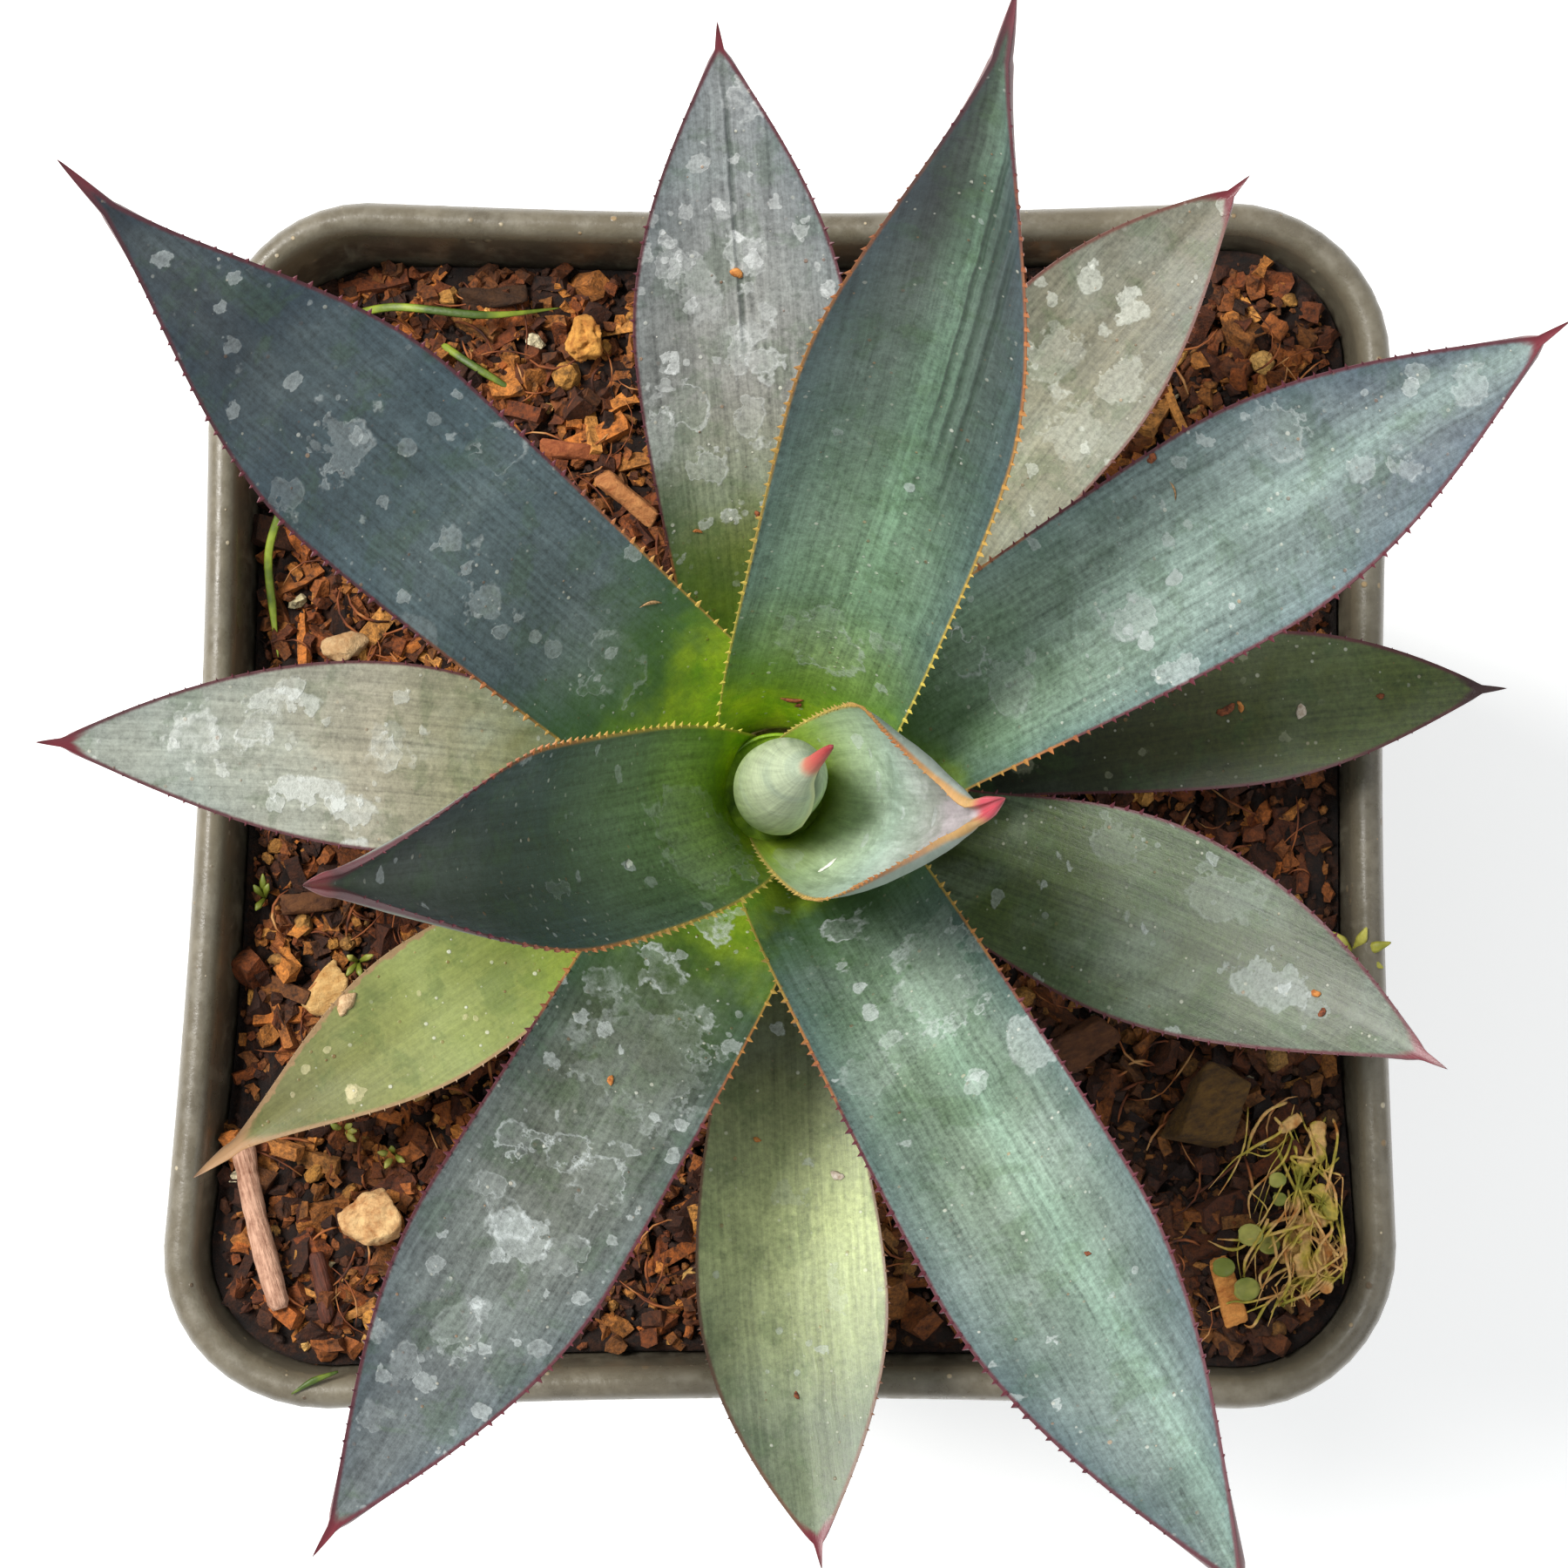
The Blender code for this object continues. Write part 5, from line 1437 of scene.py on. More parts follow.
@dataclass(frozen=True)
class MixSurface:
    """The form of the mix's top: heaped at every side but the back, sunken in one corner."""

    level: float = 7.0 * MM  # under the rim, at the stem
    gap: float = 0.3 * MM

    def height(self, x: Any, y: Any) -> Any:
        """Height of the smooth surface at a place."""
        cx, cy = AXIS.centre()
        x, y = np.asarray(x, float), np.asarray(y, float)
        from_stem = np.hypot(x - cx, y - cy)
        heap = 3.0 * ease((x - 18 * MM) / (24 * MM)) + 2.6 * ease((-y - 20 * MM) / (22 * MM))
        back = ease((y - 18 * MM) / (26 * MM))
        left = ease((-x - 18 * MM) / (26 * MM))
        heap = heap + 1.0 * left
        hollow = 3.6 * back * left
        ripple = 0.5 * np.sin(x / (6.5 * MM) + 1.0) * np.cos(y / (8.0 * MM))
        height = SHAPE.height() - self.level + (heap - hollow + ripple * ease((from_stem - 12 * MM) / (10 * MM))) * MM
        return np.minimum(height, SHAPE.height() - 2.6 * MM)

    def rough(self, x: Any, y: Any) -> Any:
        """How far crumbs and hollows move the surface from its smooth form."""
        rng = np.random.default_rng(41)
        total = np.zeros_like(np.asarray(x, float))
        for size, amount in ((5.0, 0.45), (2.6, 0.45), (1.5, 0.32), (0.9, 0.2)):
            for _ in range(6):
                angle, phase = rng.uniform(0, math.pi), rng.uniform(0, 6.28)
                wave = 2 * math.pi / (size * rng.uniform(0.8, 1.3) * MM)
                total = total + np.sin((x * math.cos(angle) + y * math.sin(angle)) * wave + phase) * amount / 3
        return total * MM


MIX = MixSurface()


class Crumb(Enum):
    """The kinds of crumb that the mix is made of."""

    FINES = "fines"
    BARK = "bark"
    BITS = "bits"
    SHARD = "shard"
    GRIT = "grit"
    PERLITE = "perlite"


@dataclass(frozen=True)
class CrumbKind:
    """How one kind of crumb is strewn. Sizes in millimetres."""

    count: float  # per square centimetre
    small: float  # shortest half-length
    large: float  # longest half-length
    flat: tuple[float, float, float]  # share of the size along each way
    lift: float  # how far its middle stands over the surface, as a share of its size
    form: str  # "ball", "round" or "block"
    crag: float  # how broken its surface is, in millimetres
    colours: tuple[str, ...]
    tilt: float  # how far it may tip, in radians
    seed: int
    slot: str
    spread: float = 2.0  # above 1 there are more small ones than large
    gloss: float = 0.85


CRUMBS = {
    Crumb.FINES: CrumbKind(112.0, 0.18, 0.78, (1.0, 0.75, 0.6), 0.5, "ball", 0.10,
                           ("1d0e06", "341a0c", "4a2510", "6b3a18", "27140b", "8a5226", "3a1d0c", "a8703a"),
                           3.1, 3, "potting_mix"),
    Crumb.BARK: CrumbKind(20.0, 0.6, 2.2, (1.0, 0.52, 0.36), 0.5, "block", 0.42,
                          ("3a1c0c", "5a2c12", "8a4a1e", "2a1408", "a65f2a", "4a2410", "c07c3c", "341808"),
                          0.9, 5, "potting_mix"),
    Crumb.BITS: CrumbKind(52.0, 0.35, 1.15, (1.0, 0.66, 0.5), 0.7, "block", 0.34,
                          ("30160a", "522811", "7a4019", "221006", "99592a", "40200e", "b87838", "5f3214"),
                          1.6, 17, "bark", 1.6),
    Crumb.SHARD: CrumbKind(17.0, 0.9, 3.9, (1.0, 0.19, 0.14), 0.6, "block", 0.18,
                           ("6b3514", "98541f", "b87032", "4a2310", "cf9350", "7a3e18", "3a1c0c"),
                           0.45, 7, "bark"),
    Crumb.GRIT: CrumbKind(5.0, 0.35, 1.25, (1.0, 0.85, 0.75), 0.6, "round", 0.20,
                          ("a5743a", "c7924a", "8a5f30", "d8b072", "b5803c", "9c7440", "6e4a26"),
                          3.1, 11, "pumice"),
    Crumb.PERLITE: CrumbKind(0.5, 0.35, 0.75, (1.0, 0.9, 0.8), 0.7, "round", 0.24,
                             ("d8d2c4", "c4bcaa", "e6e0d2", "b0a892"), 3.1, 13, "pumice"),
}


# The shapes that crumbs start from, about 1 from middle to side.
FORMS = {
    "block": ("GeometryNodeMeshCube", {"Size": (1.9, 1.8, 1.8), "Vertices X": 4, "Vertices Y": 3, "Vertices Z": 2}),
    "round": ("GeometryNodeMeshUVSphere", {"Segments": 8, "Rings": 5, "Radius": 1.0}),
    "ball": ("GeometryNodeMeshIcoSphere", {"Radius": 1.0, "Subdivisions": 1}),
}


@dataclass(frozen=True)
class PottingMix:
    """The filled mix: a rough top on a plain body, strewn with crumbs."""

    ring_count: int = 74
    fibre_count: int = 620

    def body(self) -> bpy.types.Object:
        """The closed body of the mix, rough on top."""
        gap = MIX.gap
        low_rings = [SHAPE.inside(height, -gap) for height in (SHAPE.floor + gap, 45 * MM, 70 * MM)]
        edge = SHAPE.inside(SHAPE.height() - MIX.level, -gap)
        edge = SHAPE.inside(MIX.height(edge[:, 0], edge[:, 1]), -gap)
        centre = AXIS.centre()
        socket = AXIS.seat(AXIS.seats - 1)[0] - 0.2 * MM
        angles = np.arctan2(edge[:, 1] - centre[1], edge[:, 0] - centre[0])
        inner = centre + socket * np.stack([np.cos(angles), np.sin(angles)], axis=1)
        rings = list(low_rings)
        for share in np.linspace(0.0, 1.0, self.ring_count):
            plan = edge[:, :2] * (1 - share) + inner * share
            rough = MIX.rough(plan[:, 0], plan[:, 1]) * ease(share / 0.02) * ease((1 - share) / 0.05)
            height = MIX.height(plan[:, 0], plan[:, 1]) + rough
            rings.append(np.column_stack([plan, height]))
        floor = solid_box("stem")[0][2] - gap
        rings.append(np.column_stack([inner, np.full(len(inner), floor)]))
        return new_mesh("mix_body", *lofted([list(ring) for ring in rings]))

    def patch(self, name: str, inset: float) -> bpy.types.Object:
        """The top surface alone, this far in from the wall, for crumbs to be strewn on."""
        edge = SHAPE.inside(SHAPE.height() - MIX.level, -inset)
        centre = AXIS.centre()
        angles = np.arctan2(edge[:, 1] - centre[1], edge[:, 0] - centre[0])
        inner = centre + 9.6 * MM * np.stack([np.cos(angles), np.sin(angles)], axis=1)
        vertices, faces = [], []
        steps, count = 24, len(edge)
        for k in range(steps + 1):
            plan = edge[:, :2] * (1 - k / steps) + inner * (k / steps)
            vertices += list(np.column_stack([plan, MIX.height(plan[:, 0], plan[:, 1])]))
        for k in range(steps):
            for j in range(count):
                nxt = (j + 1) % count
                faces.append((k * count + j, (k + 1) * count + j, (k + 1) * count + nxt, k * count + nxt))
        mesh = bpy.data.meshes.new(name)
        mesh.from_pydata([tuple(v) for v in vertices], [], faces)
        return linked(name, mesh)

    def strew(self, crumb: Crumb, kind: CrumbKind) -> None:
        """Strews one kind of crumb over the surface with a geometry tree."""
        name = f"mix_{crumb.value}"
        material = crumb_finish(name, kind)
        tree = Build(
            name + "_scatter",
            Count=kind.count * 1e4,
            Smallest=kind.small * MM,
            Largest=kind.large * MM,
            Crag=kind.crag * MM,
        )
        ground = {"Mesh": tree.source.outputs[0], "Density": tree.size("Count"), "Seed": kind.seed}
        points = tree.out("GeometryNodeDistributePointsOnFaces", ground, distribute_method="RANDOM")
        share = tree.term(tree.draw(0.0, 1.0, kind.seed + 1)) ** kind.spread
        size = tree.size("Smallest") + share * (tree.size("Largest") - tree.size("Smallest"))
        turn = tree.draw((-kind.tilt, -kind.tilt, 0.0), (kind.tilt, kind.tilt, 6.283), kind.seed + 2)
        vary = tree.parts(tree.draw((0.75, 0.65, 0.65), (1.25, 1.4, 1.4), kind.seed + 4))
        scale = tree.vector(*[size * flat * change for flat, change in zip(kind.flat, vary)])
        lift = tree.vector(0.0, 0.0, size * kind.lift * kind.flat[2])
        raised = tree.out("GeometryNodeSetPosition", {0: points, "Offset": lift})
        shape = tree.out(*FORMS[kind.form])
        pick = tree.draw(0.0, 1.0, kind.seed + 3)
        marked = tree.copies(raised, shape, turn, scale, "tone", pick)
        real = tree.out("GeometryNodeRealizeInstances", {0: marked})
        where = tree.out("GeometryNodeInputPosition")
        wild = {"Vector": where, "Scale": 760.0, "Detail": 3.0, "Roughness": 0.7}
        wild = tree.add("ShaderNodeTexNoise", None, wild).outputs["Color"]
        centred = tree.out("ShaderNodeVectorMath", {0: wild, 1: (0.5, 0.5, 0.5)}, operation="SUBTRACT")
        push = tree.out("ShaderNodeVectorMath", {0: centred, "Scale": tree.size("Crag") * 6.0}, operation="SCALE")
        tree.close(tree.out("GeometryNodeSetPosition", {0: real, "Offset": push}), material)
        inset = (0.25 + 0.42 * kind.large) * MM
        obj = tree.apply(self.patch(name + "_ground", inset), name)
        obj.data.shade_flat()
        dress(obj, material, kind.slot)

    def build(self) -> None:
        """Makes the body, its crumbs and its fibres."""
        # the body shows only between the crumbs; its near-black colour is partly the mix's own dark humus and partly
        # painted shade for the deep gaps
        net = Paint("mix_dark")
        where = net.place()
        soft = net.noise(where, 0.6, 5.0, 0.7)
        fine = net.noise(where, 2.4, 5.0, 0.75)
        colour = net.ramp(soft, (0.3, "0e0603"), (0.5, "221007"), (0.68, "43220e"))
        colour = net.shade(colour, fine * 1.2 + 0.4)
        dress(self.body(), net.finish(colour, 0.92, fine, 0.5), "potting_mix", "potting_mix")
        for crumb, kind in CRUMBS.items():
            self.strew(crumb, kind)
        self.fibres()

    def fibres(self) -> None:
        """Fine root and bark fibres lying over the crumbs."""
        rng = np.random.default_rng(77)
        parts = []
        while len(parts) < self.fibre_count:
            x, y = rng.uniform(-44, 44, 2) * MM
            if np.hypot(x, y) < 13 * MM or np.hypot(max(abs(x) - 36 * MM, 0), max(abs(y) - 36 * MM, 0)) > 8 * MM:
                continue
            heading, bend = rng.uniform(0, 6.28), rng.uniform(-1.2, 1.2)
            length = rng.uniform(1.8, 6.5) * MM
            line = []
            for k in range(6):
                t = k / 5 - 0.5
                angle = heading + bend * t
                px, py = x + length * t * math.cos(angle), y + length * t * math.sin(angle)
                lift = (0.9 + 0.7 * math.cos(t * 3)) * MM
                line.append((px, py, float(MIX.height(px, py)) + lift))
            radius = rng.uniform(0.05, 0.14) * MM
            widths = radius * np.array([0.5, 0.9, 1, 1, 0.8, 0.35])
            parts.append(swept(line, widths, widths, 4))
        obj = new_mesh("mix_fibres", *joined(parts))
        net = Paint("mix_fibre")
        tone = net.noise(net.place(), 0.35, 2.0)
        colour = net.ramp(tone, (0.32, "34170a"), (0.46, "743a1a"), (0.56, "a05c2c"), (0.66, "c08e58"))
        dress(obj, net.finish(colour, 0.8), "potting_mix")


def crumb_finish(name: str, kind: CrumbKind) -> bpy.types.Material:
    """Each crumb in one of its kind's colours, mottled and rough, with painted shade darkening the crumbs in the front
    right of the mix, under the leaves.
    """
    net = Paint(name + "_finish")
    tone = net.term(net.add("ShaderNodeAttribute", {"attribute_name": "tone"}).outputs["Fac"])
    where = net.place()
    stops = [((k + 0.5) / len(kind.colours), code) for k, code in enumerate(kind.colours)]
    mottle = net.noise(where, 1.1, 4.0, 0.7)
    fine = net.noise(where, 3.6, 3.0, 0.7)
    x, y, z = net.parts(where)
    split = net.noise(net.vector(x * 2.2 + y * 1.1, y * 2.6 - x * 0.8, z * 5.0), 1.0, 3.0, 0.7)
    contrast = (mottle - 0.5) * 2.6 + (fine - 0.5) * 1.2 + (split - 0.5) * 1.8 + 0.86
    # painted shade: the crumbs in the front right of the mix, which lie under the leaves, are darkened by up to half
    front_right_shade = x.step(2.0, 14.0) * y.step(-8.0, -20.0)
    contrast = contrast.most(0.1) * (1 - front_right_shade * 0.5)
    colour = net.mix(1.0, net.shade(net.ramp(tone, *stops), contrast), (1.0, 0.92, 0.70), "MULTIPLY")
    return net.finish(colour, kind.gloss, fine * 0.6 + mottle * 0.4, 0.3)


@dataclass(frozen=True)
class Chip:
    """A stone or a chip of bark on the mix, in place of its plain solid."""

    node: str
    dark: str
    light: str
    layered: bool  # bark splits in layers, stone is porous
    crag: float = 0.35  # millimetres

    def build(self) -> None:
        """Makes the piece inside its solid's box from the solid's own hull."""
        source = bpy.data.objects[self.node]
        work = bmesh.new()
        work.from_mesh(source.data)
        bmesh.ops.remove_doubles(work, verts=work.verts, dist=1e-6)
        mesh = bpy.data.meshes.new(self.node + "_fine")
        work.to_mesh(mesh)
        work.free()
        obj = linked(self.node + "_fine", mesh)
        remesh = obj.modifiers.new("remesh", "REMESH")
        remesh.mode = "VOXEL"
        remesh.voxel_size = 0.22 * MM
        fine = evaluated_mesh(obj)
        obj.modifiers.clear()
        obj.data = fine
        points = np.zeros(len(fine.vertices) * 3)
        fine.vertices.foreach_get("co", points)
        points = points.reshape(-1, 3)
        middle = points.mean(axis=0)
        rng = np.random.default_rng(sum(map(ord, self.node)))
        spread = np.ptp(points, axis=0)
        moved = np.zeros(len(points))
        for size, amount in ((2.4, 0.5), (1.1, 0.32), (0.6, 0.18)):
            for _ in range(5):
                way = rng.normal(size=3)
                if self.layered:
                    way = way * np.array([0.35, 0.35, 2.2]) if spread[2] < 4 * MM else way
                way /= np.linalg.norm(way)
                wave = 2 * math.pi / (size * rng.uniform(0.8, 1.3) * MM)
                moved += np.sin(points @ way * wave + rng.uniform(0, 6.28)) * amount / 5
        shrink = (np.abs(moved) * 0.6 + 0.5 - 0.5 * moved) * self.crag * MM
        inward = middle - points
        inward /= np.maximum(np.linalg.norm(inward, axis=1), 1e-9)[:, None]
        points = points + inward * np.maximum(shrink, 0)[:, None]
        fine.vertices.foreach_set("co", points.reshape(-1))
        fine.shade_smooth()
        dress(obj, self.finish(), "bark" if self.layered else "pumice", self.node)

    def finish(self) -> bpy.types.Material:
        """Streaked bark or pitted stone."""
        net = Paint(self.node + "_finish")
        where = net.place()
        x, y, z = net.parts(where)
        mottle = net.noise(where, 0.7, 5.0, 0.7)
        fine = net.noise(where, 2.6, 5.0, 0.75)
        if self.layered:
            lines = net.noise(net.vector(x * 0.5 + y * 0.7, y * 1.9 - x * 0.9, z * 3.0), 1.0, 4.0, 0.65)
            share = lines * 0.6 + mottle * 0.4
        else:
            share = mottle
        colour = net.ramp(share, (0.32, self.dark), (0.62, self.light))
        colour = net.shade(colour, fine * 0.9 + 0.55)
        return net.finish(colour, 0.85, fine * 0.6 + share * 0.4, 0.4)


CHIPS = (
    Chip("pumice_1", "a86c38", "e6be86", False, 0.5),
    Chip("pumice_2", "a05a1c", "e8a850", False, 1.3),
    Chip("pumice_3", "a8794a", "d2b083", False, 0.4),
    Chip("bark_chip_1", "22120a", "6a4a16", True),
    Chip("bark_chip_2", "3a1f10", "6e4222", True),
    Chip("bark_chip_3", "7a3418", "b4683a", True, 0.2),
    Chip("bark_chip_4", "9a5426", "c98a52", True, 0.25),
    Chip("bark_chip_5", "201006", "4c2e14", True),
    Chip("bark_chip_6", "8a4a20", "c98440", True),
    Chip("bark_chip_7", "a8581c", "e8a050", True, 0.25),
    Chip("bark_chip_8", "3e1e0e", "744824", True, 0.2),
    Chip("bark_chip_9", "b07a3a", "e0b878", True, 0.3),
    Chip("bark_chip_10", "a57838", "e0b468", True, 0.2),
)


@dataclass(frozen=True)
class Strand:
    """A twig, a blade of grass or a straw, along a smooth line. Sizes in millimetres."""

    points: tuple[tuple[float, float, float], ...]  # x, y, and height over the mix
    width: float  # half the width
    thick: float  # half the thickness
    ends: tuple[float, float] = (0.3, 0.1)  # share of the width left at each end
    sides: int = 8
    wobble: float = 0.0
    seed: int = 0

    def shape(self) -> Mesh:
        """Its points and faces."""
        line = smooth_line(np.array(self.points) * MM, 8)
        over = line[:, 2].copy()
        line[:, 2] = MIX.height(line[:, 0], line[:, 1]) + over + 0.3 * MM
        share = np.linspace(0, 1, len(line))
        start, end = self.ends
        profile = np.minimum(1, np.minimum(start + share * 6, end + (1 - share) * 2.5))
        rng = np.random.default_rng(self.seed)
        profile = profile * (1 + self.wobble * rng.normal(size=len(line)))
        return swept(line, self.width * MM * profile, self.thick * MM * profile, self.sides)


@dataclass(frozen=True)
class Litter:
    """Twigs, grass, straw and seedlings on the mix and the rim."""

    straw_count: int = 84
    scale_count: int = 11

    def twigs(self) -> None:
        """The two twigs: a split grey one and a reddish strip beside it."""
        along = ((-46.0, -28.0, 1.9), (-44.6, -34.8, 1.3), (-42.4, -42.2, 1.5))
        first = Strand(along, 0.98, 0.85, (0.8, 0.7), 14, 0.05, 4)
        along = ((-39.6, -37.6, 1.0), (-39.0, -40.2, 0.9), (-38.6, -43.4, 1.0))
        second = Strand(along, 0.68, 0.5, (0.7, 0.6), 10, 0.05, 5)
        for node, strand, dark, light in (
            ("twig_1", first, "7a4c34", "cfa288"),
            ("twig_2", second, "2a120a", "5e2c18"),
        ):
            net = Paint(node + "_bark")
            where = net.place()
            x, y, z = net.parts(where)
            lines = net.noise(net.vector(x * 2.6 + y * 0.75, y * 0.22 - x * 0.05, z * 2.4), 1.0, 4.0, 0.65)
            spots = net.noise(where, 0.9, 4.0, 0.7)
            colour = net.ramp(lines * 0.65 + spots * 0.35, (0.35, dark), (0.58, light))
            material = net.finish(colour, 0.75, lines, 0.25)
            obj = new_mesh(node + "_fine", *strand.shape())
            dress(obj, material, "twig", node)

    def grass_finish(self, name: str, dark: str, light: str) -> bpy.types.Material:
        """Thin leaf tissue with a lengthwise mottle."""
        net = Paint(name)
        where = net.place()
        tone = net.noise(where, 0.3, 3.0)
        fine = net.noise(where, 2.0, 2.0)
        colour = net.ramp(tone, (0.38, dark), (0.62, light))
        return net.finish(net.shade(colour, fine * 0.5 + 0.75), 0.5, fine, 0.05)

    def grass(self) -> None:
        """The blades of grass that replace their solids, and one on the rim."""
        green = self.grass_finish("grass_green", "3f5410", "86962c")
        for node, width, ends, points in (
            ("grass_blade_1", 0.36, (0.5, 0.1),
             ((-39.0, 41.6, 0.5), (-33.8, 42.2, 3.2), (-25.8, 41.4, 3.0), (-19.6, 42.4, 0.5))),
            ("grass_blade_2", 0.36, (0.5, 0.1),
             ((-42.8, 24.6, 4.4), (-44.0, 21.0, 2.6), (-43.8, 16.4, 1.2), (-43.4, 12.4, 0.5))),
            ("grass_blade_3", 0.34, (0.4, 0.1), ((-29.8, 39.4, 0.5), (-27.1, 37.4, 1.4), (-22.2, 34.4, 0.5))),
        ):
            obj = new_mesh(node + "_fine", *Strand(points, width, 0.12, ends).shape())
            dress(obj, green, "grass", node)
        rim = SHAPE.height() / MM
        over = [(-41.2, -49.0, rim + 0.2), (-39.4, -47.9, rim + 0.3), (-37.4, -47.2, rim - 0.2)]
        line = smooth_line(np.array(over) * MM, 5)
        widths = np.interp(np.linspace(0, 1, len(line)), [0, 0.5, 1], [0.05, 0.3, 0.1]) * MM
        obj = new_mesh("grass_on_rim", *swept(line, widths, widths * 0.35, 6))
        dress(obj, green, "grass")

    def straw(self) -> None:
        """The tangle of dry straw in the front right corner, with papery scales caught in it."""
        rng = np.random.default_rng(31)
        parts = []
        for k in range(self.straw_count):
            x, y = 43.0 + rng.normal() * 1.5, -25.0 - rng.uniform(0, 16.0)
            heading = -1.6 + rng.normal() * 0.55
            length = rng.uniform(2.5, 10.0)
            points = []
            for t in (0.0, 0.33, 0.66, 1.0):
                px = min(x + length * t * math.cos(heading) + rng.normal() * 0.5, 45.8)
                py = max(y + length * t * math.sin(heading) + rng.normal() * 0.5, -43.5)
                if px > 40 and py < -40:
                    px, py = 40 + (px - 40) * 0.5, -40 + (py + 40) * 0.5
                points.append((px, py, 0.5 + rng.uniform(0, 1.8) + 0.8 * math.sin(math.pi * t)))
            width = rng.uniform(0.05, 0.16)
            parts.append(Strand(tuple(points), width, width * 0.6, (0.5, 0.3), 5, 0.12, k).shape())
        for k in range(self.scale_count):
            x, y = 43.6 + rng.normal() * 1.2, -26.0 - rng.uniform(0, 15.5)
            heading, length = -1.57 + rng.normal() * 0.5, rng.uniform(1.6, 3.6)
            points = []
            for t in (-0.5, 0.0, 0.5):
                px = min(x + length * t * math.cos(heading), 45.2)
                py = max(y + length * t * math.sin(heading), -42.0)
                points.append((px, py, 1.2 + rng.uniform(0, 1.0)))
            scale = Strand(tuple(points), rng.uniform(0.35, 0.8), 0.10, (0.5, 0.3), 8, 0.10, 50 + k)
            parts.append(scale.shape())
        obj = new_mesh("straw_tangle", *joined(parts))
        net = Paint("straw")
        where = net.place()
        tone = net.noise(where, 0.42, 3.0)
        fine = net.noise(where, 2.0, 4.0, 0.7)
        stops = [(0.34, "7f7a1e"), (0.45, "b8a03e"), (0.54, "d2a868"), (0.66, "b0702c")]
        dress(obj, net.finish(net.shade(net.ramp(tone, *stops), fine * 1.4 + 0.3), 0.65, fine, 0.1), "grass")

    def leaflet(self, at: Any, radius: float, tilt: tuple[float, float], cup: float = 0.25) -> Mesh:
        """A small round cupped leaf with a little thickness."""
        steps, around = 4, 16
        ax, ay = tilt
        top, bottom = [], []
        for k in range(1, steps + 1):
            r = radius * k / steps
            for j in range(around):
                angle = 2 * math.pi * j / around
                x, y = r * math.cos(angle), r * math.sin(angle) * 0.88
                z = cup * (r / radius) ** 2 * radius
                x += 0.12 * radius * math.exp(-((angle - math.pi) ** 2) / 0.05) * (k / steps) ** 2
                point = np.array([x, y, z + x * ax + y * ay])
                top.append(at + point)
                bottom.append(at + point - np.array([0, 0, 0.12 * MM * (1 - 0.7 * k / steps)]))
        size, faces = len(top), []
        for k in range(steps - 1):
            for j in range(around):
                nxt = (j + 1) % around
                a, b, c, d = k * around + j, k * around + nxt, (k + 1) * around + nxt, (k + 1) * around + j
                faces += [(a, b, c, d), (size + d, size + c, size + b, size + a)]
        faces.append(tuple(range(around)))
        faces.append(tuple(size + j for j in reversed(range(around))))
        for j in range(around):
            a, b = (steps - 1) * around + j, (steps - 1) * around + (j + 1) % around
            faces.append((a, size + a, size + b, b))
        return top + bottom, faces

    def seedlings(self) -> None:
        """Small round-leaved seedlings among the straw, and a sprig that leans over the rim."""
        parts = []
        for x, y, radius, lift, tilt in (
            (40.4, -31.4, 0.75, 2.6, (0.1, 0.2)),
            (40.6, -33.0, 0.65, 2.2, (-0.2, 0.1)),
            (38.1, -35.9, 1.05, 2.4, (0.25, -0.1)),
            (39.7, -36.7, 0.95, 2.0, (-0.1, -0.3)),
            (35.9, -38.6, 0.95, 2.2, (0.2, 0.2)),
            (37.8, -40.4, 1.15, 2.2, (-0.1, 0.25)),
        ):
            ground = float(MIX.height(x * MM, y * MM))
            at = np.array([x * MM, y * MM, ground + lift * MM])
            parts.append(self.leaflet(at, radius * MM, tilt))
            foot = np.array([x * MM * 0.995, y * MM * 0.99, ground])
            line = smooth_line(np.array([foot, (foot + at) / 2 + np.array([0.2, 0.1, 0]) * MM, at]), 3)
            parts.append(swept(line, [0.12 * MM] * len(line), [0.12 * MM] * len(line), 6))
        rng = np.random.default_rng(12)
        for x, y, spread in ((-44.4, -8.0, 1.6), (-37.6, -27.6, 1.2), (-33.4, -29.6, 1.0), (-36.5, -13.4, 1.2)):
            for _ in range(4):
                heading, length = rng.uniform(0, 6.28), rng.uniform(0.7, 1.3) * spread
                way = np.array([math.cos(heading), math.sin(heading), 0])
                foot = np.array([x, y, float(MIX.height(x * MM, y * MM)) / MM + 0.6])
                points = np.array([foot, foot + way * length * 0.5 + (0, 0, 1.2), foot + way * length + (0, 0, 1.4)])
                line = smooth_line(points * MM, 4)
                widths = np.interp(np.linspace(0, 1, len(line)), [0, 0.6, 1], [0.1, 0.32, 0.06]) * MM
                parts.append(swept(line, widths, widths * 0.3, 6))
        obj = new_mesh("seedlings", *joined(parts))
        dress(obj, self.grass_finish("seedling_green", "6a7420", "a09c48"), "grass")
        rim = SHAPE.height() / MM
        sprig = []
        for heading, length, rise in (
            (0.3, 3.0, 1.6), (-0.5, 2.6, 1.2), (1.2, 2.3, 1.6), (-1.5, 2.2, 1.0), (2.4, 2.6, 0.8),
        ):
            start = np.array([47.0, -12.6, rim - 1.6])
            way = np.array([math.cos(heading), math.sin(heading), 0])
            middle, end = start + way * length * 0.5 + (0, 0, rise), start + way * length + (0, 0, rise * 1.2)
            line = smooth_line(np.array([start, middle, end]) * MM, 5)
            widths = np.interp(np.linspace(0, 1, len(line)), [0, 0.55, 1], [0.12, 0.5, 0.06]) * MM
            sprig.append(swept(line, widths, widths * 0.3, 6))
        obj = new_mesh("sprig_on_rim", *joined(sprig))
        dress(obj, self.grass_finish("sprig_yellow", "8a8a24", "c9c05a"), "grass")

    def build(self) -> None:
        """Makes all the litter."""
        self.twigs()
        self.grass()
        self.straw()
        self.seedlings()


# The studio


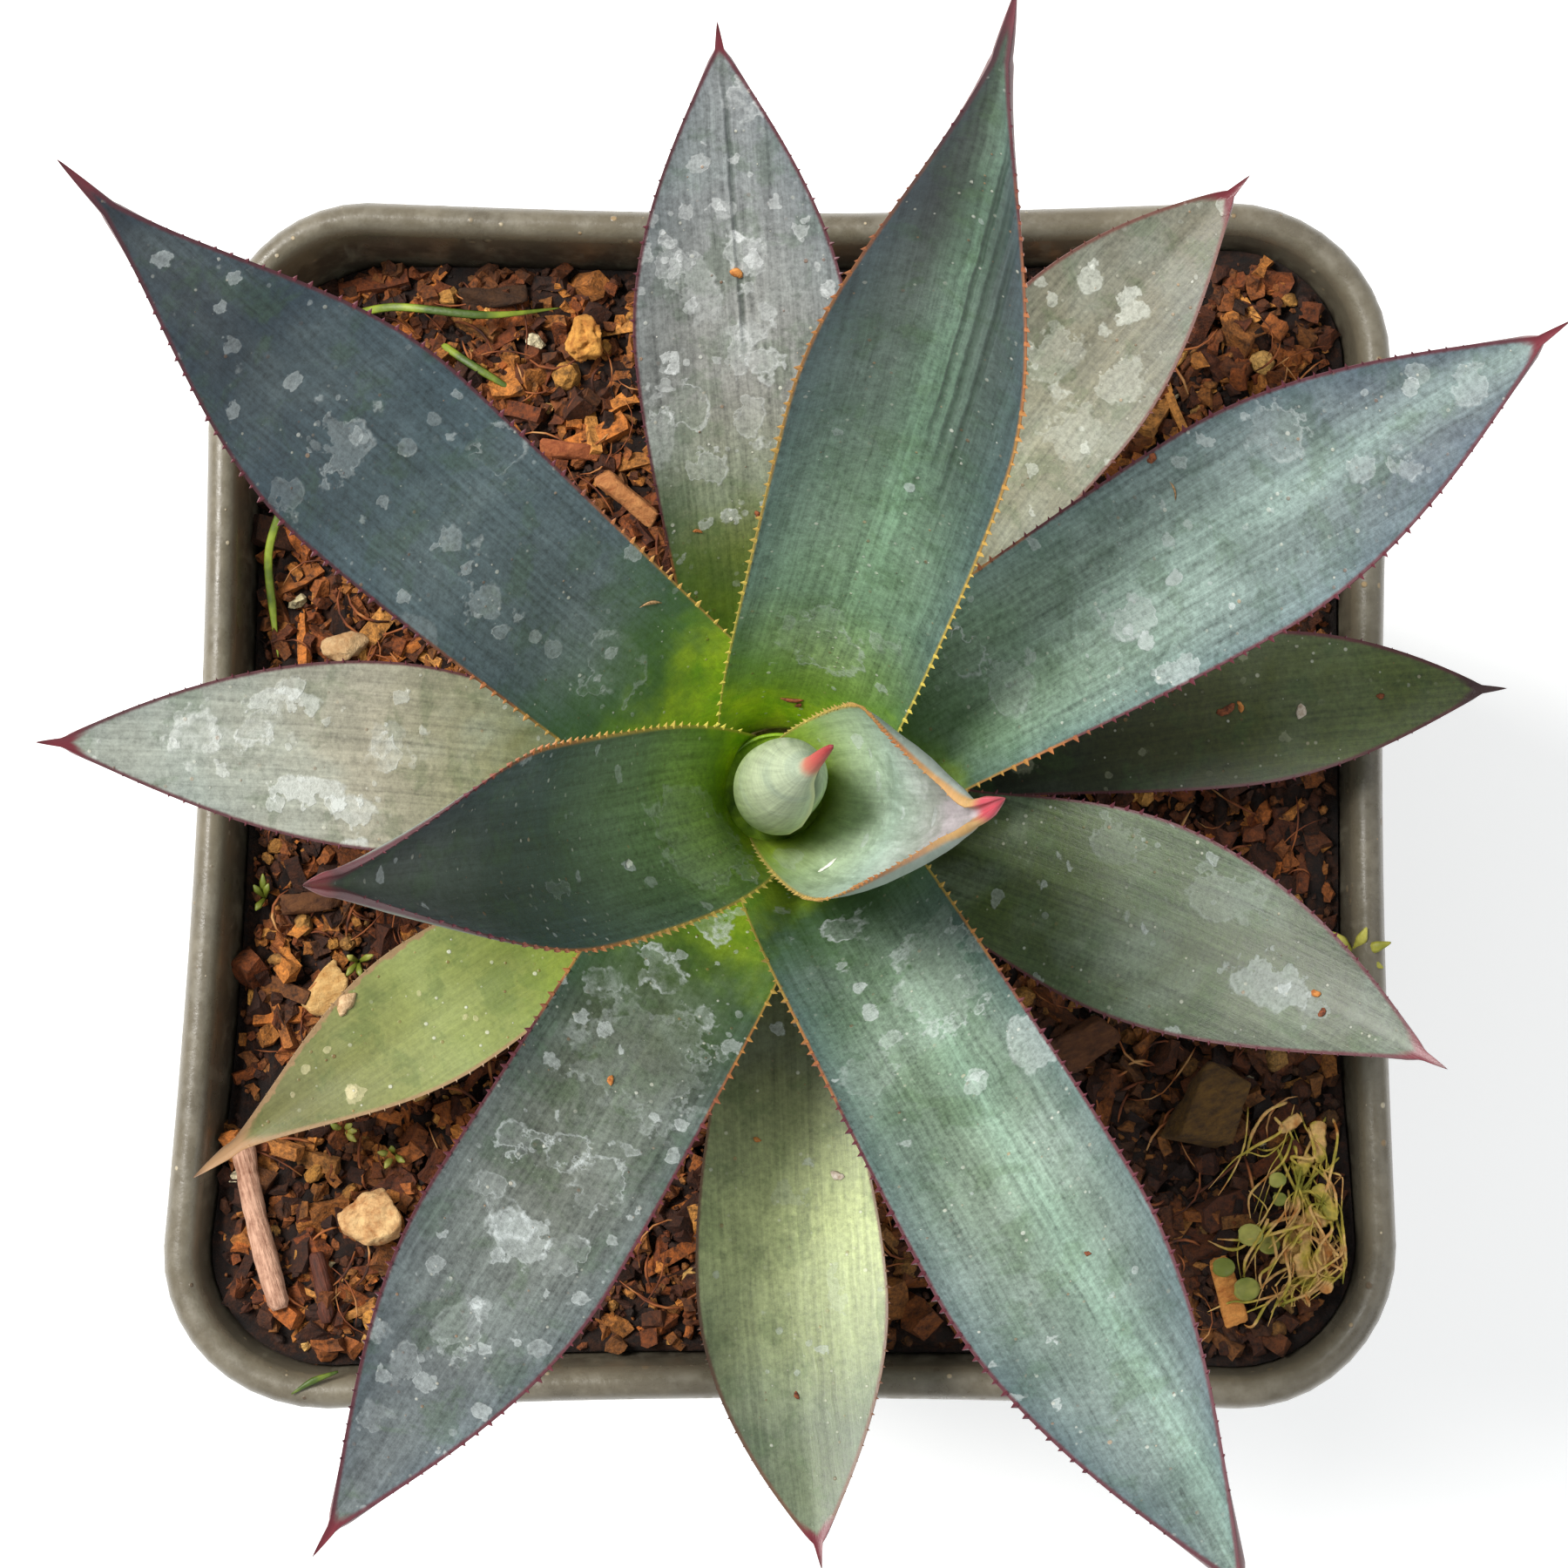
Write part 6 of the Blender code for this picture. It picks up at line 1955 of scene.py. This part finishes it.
@dataclass(frozen=True)
class Studio:
    """A plain pale floor, soft light and the camera above the rosette."""

    distance: float = 285 * MM  # from the rim to the camera
    tilt: float = 2.0  # degrees from straight down, towards the front
    aim: tuple[float, float] = (-0.5 * MM, 1.45 * MM)
    lens: float = 78.66
    key_power: float = 16.5
    sky: float = 0.5

    def build(self) -> None:
        """Makes the floor, the lights and the camera."""
        scene = bpy.context.scene
        half = 1.5
        corners = [(-half, -half, 0), (half, -half, 0), (half, half, 0), (-half, half, 0)]
        floor = new_mesh("floor", corners, [(0, 1, 2, 3)], False)
        net = Paint("floor_pale")
        floor.data.materials.append(
            net.finish((0.93, 0.93, 0.92), 0.9, Emission_Color=(1.0, 1.0, 1.0), Emission_Strength=0.4)
        )
        self.light("key", (-0.58, 0.30, 0.95), 0.42, self.key_power, (1.0, 0.985, 0.95))
        self.light("fill", (0.70, -0.40, 0.75), 0.80, self.key_power * 0.10, (0.93, 0.97, 1.0))
        world = bpy.data.worlds.new("studio")
        scene.world = world
        world.use_nodes = True
        background = world.node_tree.nodes["Background"]
        background.inputs["Color"].default_value = (0.96, 0.98, 1.0, 1.0)
        background.inputs["Strength"].default_value = self.sky
        camera = bpy.data.cameras.new("camera")
        camera.lens = self.lens
        camera.sensor_width = 36.0
        camera.clip_start = 0.01
        eye = linked("camera", camera)
        back = Vector((0, -math.sin(math.radians(self.tilt)), math.cos(math.radians(self.tilt))))
        target = Vector((*self.aim, solid_box("pot")[1][2]))
        eye.location = target + back * self.distance
        eye.rotation_euler = (math.radians(self.tilt), 0, 0)
        scene.camera = eye
        scene.view_settings.view_transform = "Standard"
        scene.view_settings.look = "None"

    def light(self, name: str, at: tuple[float, float, float], size: float, power: float, colour: Colour) -> None:
        """A soft square light aimed at the rosette."""
        data = bpy.data.lights.new(name, "AREA")
        data.size = size
        data.energy = power
        data.color = colour
        lamp = linked(name, data)
        lamp.location = at
        way = Vector((0, 0, 0.1)) - Vector(at)
        lamp.rotation_euler = way.to_track_quat("-Z", "Y").to_euler()


# All of it


def main() -> None:
    """Builds every piece in order, then the studio."""
    Studio().build()
    Pot().build()
    PottingMix().build()
    for chip in CHIPS:
        chip.build()
    Litter().build()
    Stem().build()
    Collar().build()
    Spear().build()
    for index, leaf in enumerate(LEAVES):
        leaf.build(index)
    build_flecks()


if __name__ == "__main__":
    main()
